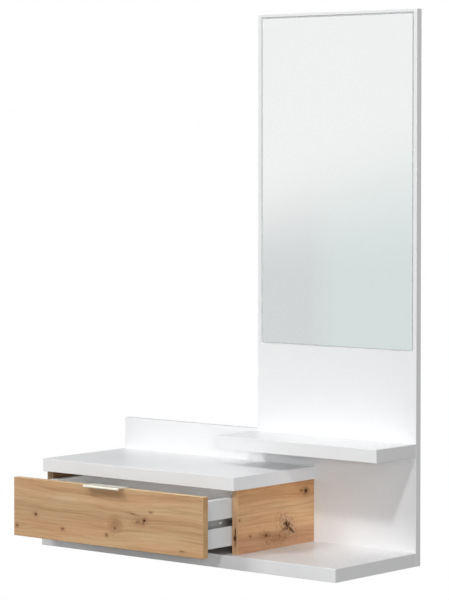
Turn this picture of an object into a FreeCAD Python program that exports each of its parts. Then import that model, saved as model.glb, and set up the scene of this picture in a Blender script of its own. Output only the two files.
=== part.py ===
"""Wall-hung hallway console: back panels with a mirror, two shelves and a cabinet with one drawer.

The origin is the middle of the lower back panel's wall face. +X runs to the right along the wall,
-Y points into the room and +Z points up. All lengths are millimetres. The drawer stands partly open.
"""
import FreeCAD, Part
import os
import re

import Sketcher

doc = FreeCAD.newDocument("hall_console")
sheet = doc.addObject("Spreadsheet::Sheet", "Sizes")

# Driving sizes: the two back panels
BACK_PANELS = {
    "unit_width": 814,
    "lower_panel_height": 260,
    "mirror_panel_width": 425,
    "mirror_panel_height": 900,
    "back_board": 16,
    "edge_ease": 0.5,
}

# Driving sizes: shelves and cabinet
SHELVES = {
    "shelf_board": 28,
    "bottom_shelf_depth": 274,
    "upper_shelf_depth": 138,
    "upper_shelf_drop": 4,
    "cabinet_width": 545,
    "cabinet_top_depth": 270,
    "compartment_height": 134,
    "side_board": 16,
}

# Driving sizes: mirror in its routed pocket
MIRROR = {
    "mirror_width": 400,
    "mirror_height": 700,
    "mirror_thickness": 3,
    "mirror_arris": 0.4,
    "mirror_gap": 3.5,
    "mirror_top_rim": 6,
    "mirror_pocket_depth": 5,
    "tape_width": 20,
    "tape_length": 600,
    "tape_thickness": 1,
}

# Driving sizes: drawer
DRAWER = {
    "drawer_opening": 90,
    "front_board": 16,
    "front_proud": 4,
    "front_end_gap": 3,
    "front_edge_gap": 3.5,
    "bumper_radius": 4,
    "bumper_thickness": 1.8,
    "bumper_clearance": 0.2,
    "bumper_inset": 14,
    "drawer_board": 15,
    "drawer_side_gap": 2,
    "drawer_side_height": 100,
    "drawer_side_lift": 17.5,
    "drawer_side_length": 248,
    "drawer_bottom_board": 3,
    "drawer_bottom_lift": 8,
    "drawer_bottom_groove": 6,
    "drawer_bottom_clearance": 0.2,
}

# Driving sizes: ball-bearing slides that run in a groove of the drawer sides
SLIDES = {
    "slide_length": 246,
    "slide_height": 17,
    "slide_setback": 2,
    "slide_groove_depth": 8,
    "slide_groove_clearance": 0.2,
    "rail_sheet": 1.2,
    "rail_lip_setback": 0.8,
    "track_depth": 0.5,
    "ball_radius": 1.5,
    "ball_clearance": 0.05,
    "ball_pitch": 11,
    "cage_length": 56,
    "cage_sheet": 0.8,
    "cage_clearance": 0.4,
    "cage_overrun": 1.8,
    "rail_screw_inset": 30,
}

# Driving sizes: edge pull on the drawer front
HANDLE = {
    "handle_length": 101,
    "handle_sheet": 2,
    "handle_reach": 17,
    "handle_lip": 4.5,
    "handle_flange": 20,
    "handle_bend": 1.5,
    "handle_screw_spacing": 64,
    "handle_screw_drop": 13,
}

# Driving sizes: steel plates in the back
PLATES = {
    "plate_sheet": 2,
    "joining_plate_width": 40,
    "joining_plate_height": 120,
    "joining_plate_spacing": 300,
    "joining_screw_inset": 10,
    "joining_screw_row": 40,
    "keyhole_plate_width": 24,
    "keyhole_plate_height": 70,
    "keyhole_spacing": 300,
    "keyhole_drop": 90,
    "keyhole_entry_radius": 4.5,
    "keyhole_slot_radius": 2.25,
    "keyhole_rise": 10,
    "keyhole_head_room": 6,
    "keyhole_head_margin": 2,
    "keyhole_screw_inset": 8,
}

# Driving sizes: screws, dowels and cam fittings, and where they stand
FASTENERS = {
    "back_screw_radius": 3.5,
    "back_screw_head": 4.8,
    "back_screw_sink": 3,
    "back_screw_length": 50,
    "small_screw_radius": 1.75,
    "small_screw_head": 3.3,
    "plate_screw_length": 10,
    "handle_screw_head_height": 1.8,
    "handle_screw_length": 14,
    "rail_screw_radius": 1.5,
    "rail_screw_head": 2.8,
    "cabinet_rail_screw_length": 13,
    "drawer_rail_screw_length": 7,
    "box_screw_radius": 2.5,
    "box_screw_head": 4.2,
    "box_screw_sink": 2.5,
    "box_screw_length": 45,
    "bottom_screw_radius": 1.5,
    "bottom_screw_head": 2.8,
    "bottom_screw_sink": 1.5,
    "bottom_screw_length": 18,
    "dowel_radius": 4,
    "dowel_length": 30,
    "dowel_panel_depth": 11,
    "cam_radius": 7.5,
    "cam_height": 12,
    "cam_reach": 24,
    "bolt_radius": 3,
    "bolt_thread_radius": 2.5,
    "bolt_thread_length": 11,
    "end_inset": 40,
    "side_cam_inset": 48,
    "drawer_cam_inset": 20,
    "box_screw_inset": 22,
    "wall_hole_radius": 2.75,
    "wall_hole_spacing": 400,
}

# Worked-out places, each from the sizes above
DERIVED = {
    "left_end": "-unit_width / 2",
    "right_end": "unit_width / 2",
    "base": "-lower_panel_height / 2",
    "panel_joint": "lower_panel_height / 2",
    "panel_face": "-back_board",
    "panel_left": "right_end - mirror_panel_width",
    "panel_middle": "right_end - mirror_panel_width / 2",
    "panel_top": "panel_joint + mirror_panel_height",
    "mirror_top": "panel_top - mirror_top_rim - mirror_gap",
    "tape_seat": "panel_face + mirror_pocket_depth",
    "shelf_top": "base + shelf_board",
    "upper_shelf_top": "panel_joint - upper_shelf_drop",
    "compartment_top": "shelf_top + compartment_height",
    "cabinet_right": "left_end + cabinet_width",
    "cabinet_middle": "left_end + cabinet_width / 2",
    "cabinet_front": "panel_face - cabinet_top_depth",
    "shut_front": "cabinet_front - front_proud",
    "front_standoff": "bumper_thickness + bumper_clearance",
    "side_front": "shut_front + front_board + front_standoff",
    "side_depth": "panel_face - side_front",
    "left_drawer_face": "left_end + side_board + drawer_side_gap",
    "right_drawer_face": "cabinet_right - side_board - drawer_side_gap",
    "drawer_inner_width": "right_drawer_face - left_drawer_face - 2 * drawer_board",
    "front_back": "shut_front + front_board - drawer_opening",
    "front_bottom": "shelf_top + front_edge_gap",
    "front_top": "compartment_top - front_edge_gap",
    "drawer_base": "shelf_top + drawer_side_lift",
    "drawer_rim": "drawer_base + drawer_side_height",
    "drawer_end": "front_back + drawer_side_length",
    "drawer_floor": "drawer_base + drawer_bottom_lift",
    "slide_level": "drawer_base + drawer_side_height / 2",
    "cabinet_rail_end": "side_front + slide_setback + slide_length",
    "drawer_rail_end": "front_back + slide_setback + slide_length",
    "ball_track": "ball_radius + ball_clearance",
    "ball_row": "slide_height / 2 - rail_sheet + track_depth - ball_track",
    "inner_rail_half": "ball_row - ball_track + track_depth",
    "inner_rail_tip": "rail_sheet + 2 * cage_clearance + cage_sheet - slide_groove_depth",
    "ball_line": "(inner_rail_tip - rail_lip_setback) / 2",
    "cage_back": "rail_sheet + cage_clearance - slide_groove_depth",
    "cage_middle": "(cabinet_rail_end + drawer_rail_end - slide_length) / 2",
    "handle_top": "front_top + handle_sheet",
    "handle_nose": "front_back - front_board - handle_reach",
    "keyhole_level": "panel_top - keyhole_drop",
}

TAPE_STRIPS = 4
BALLS_IN_ROW = 5
QUARTER_TURN = 90
HALF_TURN = 180
BOX_EDGES = range(1, 13)
MATCH = 1e-6
X_AXIS = FreeCAD.Vector(1, 0, 0)
Y_AXIS = FreeCAD.Vector(0, 1, 0)
TURNS = {
    "+X": FreeCAD.Rotation(Y_AXIS, QUARTER_TURN),
    "-X": FreeCAD.Rotation(Y_AXIS, -QUARTER_TURN),
    "+Y": FreeCAD.Rotation(X_AXIS, -QUARTER_TURN),
    "-Y": FreeCAD.Rotation(X_AXIS, QUARTER_TURN),
    "+Z": FreeCAD.Rotation(),
    "-Z": FreeCAD.Rotation(X_AXIS, HALF_TURN),
}
nodes = {}


def fill_sheet():
    """Write every driving size and every worked-out place into a named cell."""
    row = 0
    for group in (BACK_PANELS, SHELVES, MIRROR, DRAWER, SLIDES, HANDLE, PLATES, FASTENERS, DERIVED):
        for name, value in group.items():
            row += 1
            sheet.set(f"A{row}", name)
            sheet.set(f"B{row}", f"={value}" if group is DERIVED else str(value))
            sheet.setAlias(f"B{row}", name)
    doc.recompute()


def rule(text):
    """Point every size name in a sum at its cell."""
    return re.sub(r"[a-z][a-z_]+", r"Sizes.\g<0>", text)


def bind(thing, path, text):
    """Tie one property of an object to the sheet."""
    thing.setExpression(path, rule(text))


def place(thing, at, along="+Z"):
    """Turn an object's own +Z along a direction and tie its place to the sheet."""
    thing.Placement = FreeCAD.Placement(FreeCAD.Vector(), TURNS[along])
    for axis, text in zip("xyz", at):
        bind(thing, f"Placement.Base.{axis}", text)
    return thing


def keep(label, thing):
    """Name an object as one finished piece."""
    thing.Label = label
    nodes[label] = thing
    return thing


def box(name, size, at):
    """A block with its lowest corner at a place."""
    block = doc.addObject("Part::Box", name)
    for path, text in zip(("Length", "Width", "Height"), size):
        bind(block, path, text)
    return place(block, at)


def rod(name, radius, length, at, along):
    """A round bar that starts at a place and runs along a direction."""
    bar = doc.addObject("Part::Cylinder", name)
    bind(bar, "Radius", radius)
    bind(bar, "Height", length)
    return place(bar, at, along)


def board(name, size, at, ease="edge_ease"):
    """A block whose edges are all eased by a small radius."""
    block = box(f"{name}_block", size, at)
    doc.recompute()
    eased = doc.addObject("Part::Fillet", f"{name}_eased")
    eased.Base = block
    radius = sheet.get(ease)
    eased.Edges = [(edge, radius, radius) for edge in BOX_EDGES]
    return eased


def together(name, pieces):
    """Several separate solids as one object."""
    group = doc.addObject("Part::Compound", name)
    group.Links = pieces
    return group


def fused(name, pieces):
    """Several solids melted into one."""
    whole = doc.addObject("Part::MultiFuse", name)
    whole.Shapes = pieces
    return whole


def less(name, base, tools):
    """A piece with the room of other pieces taken out of it."""
    result = doc.addObject("Part::Cut", f"{name}_cut")
    result.Base = base
    result.Tool = tools[0] if len(tools) == 1 else together(f"{name}_room", tools)
    return result


def copies(label, master, spots):
    """Identical fasteners, one at each (place, direction), as one piece of separate solids."""
    links = []
    for at, along in spots:
        link = doc.addObject("App::Link", f"{label}_one")
        link.LinkedObject = master
        links.append(place(link, at, along))
    return keep(label, together(f"{label}_set", links))


def sunk_screw(name, head, radius, sink, length):
    """A countersunk screw that points along +Z from its head's flat face."""
    cone = doc.addObject("Part::Cone", f"{name}_head")
    bind(cone, "Radius1", head)
    bind(cone, "Radius2", radius)
    bind(cone, "Height", sink)
    shank = rod(f"{name}_shank", radius, length, ("0", "0", "0"), "+Z")
    return fused(name, [cone, shank])


def section_body(name, plane, points, length, at):
    """A bar whose section is a sketched outline, each corner tied to the sheet."""
    body = doc.addObject("PartDesign::Body", name)
    sketch = body.newObject("Sketcher::SketchObject", f"{name}_section")
    support = next(item for item in body.Origin.OriginFeatures if item.Role == plane)
    sketch.AttachmentSupport = [(support, "")]
    sketch.MapMode = "FlatFace"
    values = [tuple(float(sheet.evalExpression(rule(text))) for text in point) for point in points]
    corners = [FreeCAD.Vector(across, up, 0) for across, up in values]
    count = len(corners)
    for index, corner in enumerate(corners):
        sketch.addGeometry(Part.LineSegment(corner, corners[(index + 1) % count]), False)
    for index in range(count):
        sketch.addConstraint(Sketcher.Constraint("Coincident", index, 2, (index + 1) % count, 1))
    for index, point in enumerate(points):
        for kind, text, value in zip(("DistanceX", "DistanceY"), point, values[index]):
            number = sketch.addConstraint(Sketcher.Constraint(kind, -1, 1, index, 1, value))
            bind(sketch, f"Constraints[{number}]", text)
    pad = body.newObject("PartDesign::Pad", f"{name}_bar")
    pad.Profile = sketch
    bind(pad, "Length", length)
    place(body, at)
    doc.recompute()
    return body


def spread(start, end, count):
    """Sums for places spaced evenly from one place to another."""
    return [f"{start} + ({end} - ({start})) * {index} / {count - 1}" for index in range(count)]


def midways(places):
    """Sums for the places halfway between neighbours."""
    return [f"(({first}) + ({second})) / 2" for first, second in zip(places, places[1:])]


def outward(side, text):
    """The X of a distance measured outward from a drawer side's outer face."""
    return f"left_drawer_face - ({text})" if side == "left" else f"right_drawer_face + ({text})"


def panel_fasteners():
    """Screws and dowels that hold shelves, top and sides to the back panels."""
    screw = sunk_screw("back_screw", "back_screw_head", "back_screw_radius", "back_screw_sink",
                       "back_screw_length")
    rows = (
        (spread("left_end + end_inset", "right_end - end_inset", 5), "base + shelf_board / 2"),
        (spread("panel_middle - 2 * end_inset", "panel_middle + 2 * end_inset", 3),
         "upper_shelf_top - shelf_board / 2"),
        (spread("left_end + end_inset", "cabinet_right - end_inset", 3), "compartment_top + shelf_board / 2"),
    )
    side_rows = ("left_end + side_board / 2", "cabinet_right - side_board / 2")
    side_levels = ("shelf_top + compartment_height / 4", "compartment_top - compartment_height / 4")
    spots = [(across, level) for row, level in rows for across in row]
    spots += [(across, level) for across in side_rows for level in side_levels]
    screws = copies("back_panel_screws", screw, [((across, "0", up), "-Y") for across, up in spots])

    dowel = rod("dowel", "dowel_radius", "dowel_length", ("0", "0", "0"), "+Z")
    seat = "panel_face + dowel_panel_depth"
    pins = [(across, level) for row, level in rows for across in midways(row)]
    dowels = copies("shelf_dowels", dowel, [((across, seat, up), "-Y") for across, up in pins])

    joint_row = spread("panel_left + end_inset / 2", "right_end - end_inset / 2", 4)
    start = "panel_joint - dowel_length / 2"
    joint_pins = copies("panel_joint_dowels", dowel,
                        [((across, "panel_face / 2", start), "+Z") for across in joint_row])
    return screws, dowels, joint_pins


def side_fittings():
    """Cam bolts and cam locks that draw the cabinet sides to the bottom shelf and the top."""
    bolt = fused("cam_bolt", [
        rod("cam_bolt_thread", "bolt_thread_radius", "bolt_thread_length", ("0", "0", "-bolt_thread_length"),
            "+Z"),
        rod("cam_bolt_shank", "bolt_radius", "cam_reach", ("0", "0", "0"), "+Z"),
    ])
    rows = ("side_front + side_cam_inset", "panel_face - side_cam_inset")
    sides = (("left_end + side_board / 2", "left_end + side_board", "-X"),
             ("cabinet_right - side_board / 2", "cabinet_right - side_board", "+X"))
    ends = (("shelf_top", "+Z", "shelf_top + cam_reach"),
            ("compartment_top", "-Z", "compartment_top - cam_reach"))
    bolt_spots = []
    cam_blanks = []
    for middle, face, along in sides:
        for seat, rise, level in ends:
            for row in rows:
                bolt_spots.append(((middle, row, seat), rise))
                cam_blanks.append(rod("side_cam", "cam_radius", "cam_height", (face, row, level), along))
    bolts = copies("side_cam_bolts", bolt, bolt_spots)
    cams = keep("side_cam_locks", less("side_cam_locks", together("side_cams", cam_blanks), [bolts]))
    return bolt, bolts, cams


def steel_plates(plate_screw):
    """Plates that join the two back panels and keyhole plates that hang the mirror panel.

    Returns the shapes that the back panels give room to.
    """
    plate_blanks = []
    joining_spots = []
    for sign in "-+":
        middle = f"panel_middle {sign} joining_plate_spacing / 2"
        plate_blanks.append(box(
            "joining_plate", ("joining_plate_width", "plate_sheet", "joining_plate_height"),
            (f"{middle} - joining_plate_width / 2", "-plate_sheet",
             "panel_joint - joining_plate_height / 2")))
        for across in "-+":
            for up in "-+":
                column = f"{middle} {across} (joining_plate_width / 2 - joining_screw_inset)"
                joining_spots.append(((column, "0", f"panel_joint {up} joining_screw_row"), "-Y"))
    joining_screws = copies("joining_plate_screws", plate_screw, joining_spots)
    keep("joining_plates", less("joining_plates", together("joining_blanks", plate_blanks), [joining_screws]))

    hanger_blanks = []
    holes = []
    head_rooms = []
    hanger_spots = []
    for sign in "-+":
        middle = f"panel_middle {sign} keyhole_spacing / 2"
        hanger_blanks.append(box(
            "keyhole_plate", ("keyhole_plate_width", "plate_sheet", "keyhole_plate_height"),
            (f"{middle} - keyhole_plate_width / 2", "-plate_sheet",
             "keyhole_level - keyhole_plate_height / 2")))
        entry = rod("keyhole_entry", "keyhole_entry_radius", "plate_sheet",
                    (middle, "0", "keyhole_level"), "-Y")
        slot = box("keyhole_slot", ("2 * keyhole_slot_radius", "plate_sheet", "keyhole_rise"),
                   (f"{middle} - keyhole_slot_radius", "-plate_sheet", "keyhole_level"))
        top = rod("keyhole_top", "keyhole_slot_radius", "plate_sheet",
                  (middle, "0", "keyhole_level + keyhole_rise"), "-Y")
        holes.append(fused("keyhole", [entry, slot, top]))
        reach = "keyhole_entry_radius + keyhole_head_margin"
        head_rooms.append(box(
            "keyhole_head_room", (f"2 * ({reach})", "keyhole_head_room", f"2 * ({reach}) + keyhole_rise"),
            (f"{middle} - ({reach})", "-plate_sheet - keyhole_head_room", f"keyhole_level - ({reach})")))
        for up in "-+":
            level = f"keyhole_level {up} (keyhole_plate_height / 2 - keyhole_screw_inset)"
            hanger_spots.append(((middle, "0", level), "-Y"))
    hanger_screws = copies("keyhole_plate_screws", plate_screw, hanger_spots)
    keep("keyhole_plates",
         less("keyhole_plates", together("keyhole_blanks", hanger_blanks), holes + [hanger_screws]))
    return plate_blanks + hanger_blanks + head_rooms + [joining_screws, hanger_screws]


def back_panels(screws, dowels, joint_pins, panel_room):
    """The lower back panel, the mirror panel on top of it, and the mirror in its pocket."""
    wall_holes = []
    for sign in "-+":
        wall_holes.append(rod("wall_hole", "wall_hole_radius", "back_board",
                              (f"cabinet_middle {sign} wall_hole_spacing / 2", "0", "slide_level"), "-Y"))
    lower = board("lower_back_panel", ("unit_width", "back_board", "lower_panel_height"),
                  ("left_end", "panel_face", "base"))
    keep("lower_back_panel",
         less("lower_back_panel", lower, wall_holes + panel_room + [screws, dowels, joint_pins]))

    upper = board("mirror_panel", ("mirror_panel_width", "back_board", "mirror_panel_height"),
                  ("panel_left", "panel_face", "panel_joint"))
    pocket = box("mirror_pocket", ("mirror_width + 2 * mirror_gap", "mirror_pocket_depth",
                                   "mirror_height + 2 * mirror_gap"),
                 ("panel_middle - mirror_width / 2 - mirror_gap", "panel_face",
                  "mirror_top - mirror_height - mirror_gap"))
    keep("mirror_panel", less("mirror_panel", upper, [pocket, joint_pins] + panel_room))

    keep("mirror_glass", board("mirror_glass", ("mirror_width", "mirror_thickness", "mirror_height"),
                               ("panel_middle - mirror_width / 2",
                                "tape_seat - tape_thickness - mirror_thickness",
                                "mirror_top - mirror_height"), "mirror_arris"))
    strips = []
    for index in range(TAPE_STRIPS):
        middle = f"panel_middle + mirror_width * ({2 * index + 1} - {TAPE_STRIPS}) / (2 * {TAPE_STRIPS})"
        strips.append(box("tape_strip", ("tape_width", "tape_thickness", "tape_length"),
                          (f"{middle} - tape_width / 2", "tape_seat - tape_thickness",
                           "mirror_top - mirror_height / 2 - tape_length / 2")))
    keep("mirror_tape_strips", together("tape_strips", strips))


def shelves(screws, dowels, bolts):
    """The bottom shelf, the upper shelf and the top of the cabinet."""
    bottom = board("bottom_shelf", ("unit_width", "bottom_shelf_depth", "shelf_board"),
                   ("left_end", "panel_face - bottom_shelf_depth", "base"))
    keep("bottom_shelf", less("bottom_shelf", bottom, [screws, dowels, bolts]))
    upper = board("upper_shelf", ("mirror_panel_width", "upper_shelf_depth", "shelf_board"),
                  ("panel_left", "panel_face - upper_shelf_depth", "upper_shelf_top - shelf_board"))
    keep("upper_shelf", less("upper_shelf", upper, [screws, dowels]))
    top = board("cabinet_top", ("cabinet_width", "cabinet_top_depth", "shelf_board"),
                ("left_end", "cabinet_front", "compartment_top"))
    keep("cabinet_top", less("cabinet_top", top, [screws, dowels, bolts]))


def cabinet_sides(screws, bolts, cams, rail_screws):
    """The two wooden sides of the cabinet."""
    for side, corner in (("left", "left_end"), ("right", "cabinet_right - side_board")):
        blank = board(f"{side}_side_panel", ("side_board", "side_depth", "compartment_height"),
                      (corner, "side_front", "shelf_top"))
        keep(f"{side}_side_panel",
             less(f"{side}_side_panel", blank, [screws, bolts, cams, rail_screws]))


def rail_screw_sets():
    """Screws that hold the slide rails to the cabinet sides and to the drawer sides."""
    cabinet_screw = sunk_screw("cabinet_rail_screw", "rail_screw_head", "rail_screw_radius", "rail_sheet",
                               "cabinet_rail_screw_length")
    drawer_screw = sunk_screw("drawer_rail_screw", "rail_screw_head", "rail_screw_radius", "rail_sheet",
                              "drawer_rail_screw_length")
    cabinet_spots = []
    drawer_spots = []
    for side, out, into in (("left", "-X", "+X"), ("right", "+X", "-X")):
        web = outward(side, "drawer_side_gap - rail_sheet")
        groove = outward(side, "rail_sheet - slide_groove_depth")
        for inset in ("rail_screw_inset", "slide_length - rail_screw_inset"):
            cabinet_spots.append(((web, f"cabinet_rail_end - ({inset})", "slide_level"), out))
            drawer_spots.append(((groove, f"drawer_rail_end - ({inset})", "slide_level"), into))
    return (copies("cabinet_rail_screws", cabinet_screw, cabinet_spots),
            copies("drawer_rail_screws", drawer_screw, drawer_spots))


def slide(side, cabinet_screws, drawer_screws):
    """One ball-bearing slide: a rail on the cabinet, a rail in the drawer's groove, and the cage of balls."""
    def corners(outline):
        return [(outward(side, across), f"slide_level + {up}") for across, up in outline]

    def tracks(name, end):
        return [rod(f"{side}_{name}_track", "ball_track", "slide_length",
                    (outward(side, "ball_line"), end, f"slide_level {sign} ball_row"), "-Y") for sign in "-+"]

    half = "slide_height / 2"
    web = "rail_sheet - slide_groove_depth"
    channel = corners([
        ("-slide_groove_depth", f"-({half})"), ("-rail_lip_setback", f"-({half})"),
        ("-rail_lip_setback", f"rail_sheet - {half}"), (web, f"rail_sheet - {half}"),
        (web, f"{half} - rail_sheet"), ("-rail_lip_setback", f"{half} - rail_sheet"),
        ("-rail_lip_setback", half), ("-slide_groove_depth", half)])
    blank = section_body(f"{side}_drawer_channel", "XZ_Plane", channel, "slide_length",
                         ("0", "drawer_rail_end", "0"))
    keep(f"{side}_drawer_rail",
         less(f"{side}_drawer_rail", blank, tracks("drawer", "drawer_rail_end") + [drawer_screws]))

    web = "drawer_side_gap - rail_sheet"
    inner = corners([
        ("drawer_side_gap", "-inner_rail_half"), ("drawer_side_gap", "inner_rail_half"),
        ("inner_rail_tip", "inner_rail_half"), ("inner_rail_tip", "inner_rail_half - rail_sheet"),
        (web, "inner_rail_half - rail_sheet"), (web, "rail_sheet - inner_rail_half"),
        ("inner_rail_tip", "rail_sheet - inner_rail_half"), ("inner_rail_tip", "-inner_rail_half")])
    blank = section_body(f"{side}_cabinet_channel", "XZ_Plane", inner, "slide_length",
                         ("0", "cabinet_rail_end", "0"))
    keep(f"{side}_cabinet_rail",
         less(f"{side}_cabinet_rail", blank, tracks("cabinet", "cabinet_rail_end") + [cabinet_screws]))

    low = "ball_row - cage_sheet / 2"
    high = "ball_row + cage_sheet / 2"
    tip = "ball_line + cage_overrun"
    cage = corners([
        ("cage_back", f"-({high})"), (tip, f"-({high})"), (tip, f"-({low})"),
        ("cage_back + cage_sheet", f"-({low})"), ("cage_back + cage_sheet", low), (tip, low), (tip, high),
        ("cage_back", high)])
    blank = section_body(f"{side}_cage_strip", "XZ_Plane", cage, "cage_length",
                         ("0", "cage_middle + cage_length / 2", "0"))
    balls = []
    pockets = []
    for sign in "-+":
        for index in range(BALLS_IN_ROW):
            step = f"({2 * index + 1} - {BALLS_IN_ROW}) / 2"
            at = (outward(side, "ball_line"), f"cage_middle + ball_pitch * {step}",
                  f"slide_level {sign} ball_row")
            for radius, group in (("ball_radius", balls), ("ball_track", pockets)):
                ball = doc.addObject("Part::Sphere", f"{side}_ball")
                bind(ball, "Radius", radius)
                group.append(place(ball, at))
    keep(f"{side}_ball_cage", less(f"{side}_ball_cage", blank, pockets))
    keep(f"{side}_slide_balls", together(f"{side}_balls", balls))


def handle():
    """The bent edge pull over the top of the drawer front, with its two screws."""
    blank = section_body("handle_bend_bar", "YZ_Plane", [
        ("front_back + handle_sheet", "handle_top - handle_flange"),
        ("front_back + handle_sheet", "handle_top"),
        ("handle_nose", "handle_top"), ("handle_nose", "handle_top - handle_lip"),
        ("handle_nose + handle_sheet", "handle_top - handle_lip"),
        ("handle_nose + handle_sheet", "front_top"),
        ("front_back", "front_top"), ("front_back", "handle_top - handle_flange"),
    ], "handle_length", ("cabinet_middle - handle_length / 2", "0", "0"))
    top = sheet.get("handle_top")
    outer = (sheet.get("front_back") + sheet.get("handle_sheet"), sheet.get("handle_nose"))
    bends = []
    for number, edge in enumerate(blank.Shape.Edges, 1):
        ends = [vertex.Point for vertex in edge.Vertexes]
        on_top = all(abs(end.z - top) < MATCH for end in ends)
        if on_top and any(all(abs(end.y - bend) < MATCH for end in ends) for bend in outer):
            bends.append(f"Edge{number}")
    bar = blank.Tip
    rounded = blank.newObject("PartDesign::Fillet", "handle_bends")
    rounded.Base = (bar, bends)
    bind(rounded, "Radius", "handle_bend")
    blank.Tip = rounded

    screw = fused("handle_screw", [
        rod("handle_screw_head", "small_screw_head", "handle_screw_head_height",
            ("0", "0", "-handle_screw_head_height"), "+Z"),
        rod("handle_screw_shank", "small_screw_radius", "handle_screw_length", ("0", "0", "0"), "+Z"),
    ])
    screws = copies("handle_screws", screw, [
        ((f"cabinet_middle {sign} handle_screw_spacing / 2", "front_back + handle_sheet",
          "handle_top - handle_screw_drop"), "-Y") for sign in "-+"])
    keep("handle", less("handle", blank, [screws]))
    return screws


def drawer(bolt, rail_screws, handle_screws):
    """The drawer: front with stick-on bumpers, two grooved sides, back and bottom, with their fittings."""
    bolt_spots = []
    cam_blanks = []
    levels = ("drawer_base + drawer_cam_inset", "drawer_rim - drawer_cam_inset")
    for side, along in (("left", "-X"), ("right", "+X")):
        for level in levels:
            bolt_spots.append(((outward(side, "-drawer_board / 2"), "front_back", level), "+Y"))
            cam_blanks.append(rod("drawer_cam", "cam_radius", "cam_height",
                                  (outward(side, "-drawer_board"), "front_back + cam_reach", level), along))
    bolts = copies("drawer_cam_bolts", bolt, bolt_spots)
    cams = keep("drawer_cam_locks", less("drawer_cam_locks", together("drawer_cams", cam_blanks), [bolts]))

    box_screw = sunk_screw("box_screw", "box_screw_head", "box_screw_radius", "box_screw_sink",
                           "box_screw_length")
    box_spots = []
    for side, into in (("left", "+X"), ("right", "-X")):
        for level in ("drawer_base + box_screw_inset", "drawer_rim - box_screw_inset"):
            box_spots.append(((outward(side, "0"), "drawer_end - drawer_board / 2", level), into))
    box_screws = copies("drawer_back_screws", box_screw, box_spots)

    bottom_screw = sunk_screw("bottom_screw", "bottom_screw_head", "bottom_screw_radius", "bottom_screw_sink",
                              "bottom_screw_length")
    back_middle = "drawer_end - drawer_board / 2"
    rows = spread("left_drawer_face + drawer_board + end_inset",
                  "right_drawer_face - drawer_board - end_inset", 3)
    bottom_screws = copies("drawer_bottom_screws", bottom_screw,
                           [((across, back_middle, "drawer_floor"), "+Z") for across in rows])

    groove_height = "drawer_bottom_board + drawer_bottom_clearance"
    bottom_start = "front_back - drawer_bottom_groove"
    bottom_left = "left_drawer_face + drawer_board - drawer_bottom_groove"
    bottom_width = "drawer_inner_width + 2 * drawer_bottom_groove"
    bottom_depth = "drawer_side_length + drawer_bottom_groove"
    bottom_room = box("drawer_bottom_room", (bottom_width, bottom_depth, groove_height),
                      (bottom_left, bottom_start, "drawer_floor"))
    bottom = box("drawer_bottom_sheet", (f"{bottom_width} - 2 * drawer_bottom_clearance",
                                         f"{bottom_depth} - drawer_bottom_clearance", "drawer_bottom_board"),
                 (f"{bottom_left} + drawer_bottom_clearance", f"{bottom_start} + drawer_bottom_clearance",
                  "drawer_floor"))
    keep("drawer_bottom", less("drawer_bottom", bottom, [bottom_screws]))

    front = board("drawer_front",
                  ("cabinet_width - 2 * front_end_gap", "front_board", "front_top - front_bottom"),
                  ("left_end + front_end_gap", "front_back - front_board", "front_bottom"))
    keep("drawer_front", less("drawer_front", front, [bottom_room, bolts, handle_screws]))
    bumpers = []
    for across in ("left_end + side_board / 2", "cabinet_right - side_board / 2"):
        for level in ("shelf_top + bumper_inset", "compartment_top - bumper_inset"):
            bumpers.append(rod("bumper", "bumper_radius", "bumper_thickness", (across, "front_back", level), "+Y"))
    keep("front_bumpers", together("bumpers", bumpers))

    back_foot = f"drawer_floor + {groove_height}"
    back = board("drawer_back", ("drawer_inner_width", "drawer_board", f"drawer_rim - ({back_foot})"),
                 ("left_drawer_face + drawer_board", "drawer_end - drawer_board", back_foot))
    keep("drawer_back", less("drawer_back", back, [box_screws, bottom_screws]))

    for side, corner in (("left", "left_drawer_face"), ("right", "right_drawer_face - drawer_board")):
        blank = board(f"drawer_{side}_side", ("drawer_board", "drawer_side_length", "drawer_side_height"),
                      (corner, "front_back", "drawer_base"))
        groove_corner = "left_drawer_face" if side == "left" else "right_drawer_face - slide_groove_depth"
        groove = box(f"{side}_slide_groove", ("slide_groove_depth", "drawer_side_length",
                                              "slide_height + 2 * slide_groove_clearance"),
                     (groove_corner, "front_back", "slide_level - slide_height / 2 - slide_groove_clearance"))
        keep(f"drawer_{side}_side",
             less(f"drawer_{side}_side", blank, [groove, bottom_room, bolts, cams, box_screws, rail_screws]))


def write_steps():
    """Check that every object is sound, then write each piece to its own file."""
    doc.recompute()
    for thing in doc.Objects:
        if "Invalid" in thing.State or "Error" in thing.State:
            raise RuntimeError(f"{thing.Label} did not build: {thing.State}")
    for label, thing in nodes.items():
        if thing.Shape.isNull() or not thing.Shape.isValid() or not thing.Shape.Solids:
            raise RuntimeError(f"{label} is not a sound solid")
    os.makedirs("parts", exist_ok=True)
    for label, thing in nodes.items():
        thing.Shape.exportStep(f"parts/{label}.step")
    print(f"{len(nodes)} pieces written")


def main():
    """Build the whole console."""
    fill_sheet()
    screws, dowels, joint_pins = panel_fasteners()
    bolt, bolts, cams = side_fittings()
    plate_screw = sunk_screw("plate_screw", "small_screw_head", "small_screw_radius", "plate_sheet",
                             "plate_screw_length")
    back_panels(screws, dowels, joint_pins, steel_plates(plate_screw))
    shelves(screws, dowels, bolts)
    cabinet_screws, drawer_screws = rail_screw_sets()
    cabinet_sides(screws, bolts, cams, cabinet_screws)
    for side in ("left", "right"):
        slide(side, cabinet_screws, drawer_screws)
    drawer(bolt, drawer_screws, handle())
    write_steps()


main()
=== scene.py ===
"""Wall-hung hallway console: back panels with a mirror, two shelves and a cabinet with one drawer.

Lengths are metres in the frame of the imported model: +X runs right along the wall, -Y points into the
room and +Z points up. The drawer stands partly open.
"""
import logging
import math
from collections.abc import Callable, Iterable, Sequence
from dataclasses import dataclass, replace
from enum import Enum
from typing import ClassVar

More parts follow.
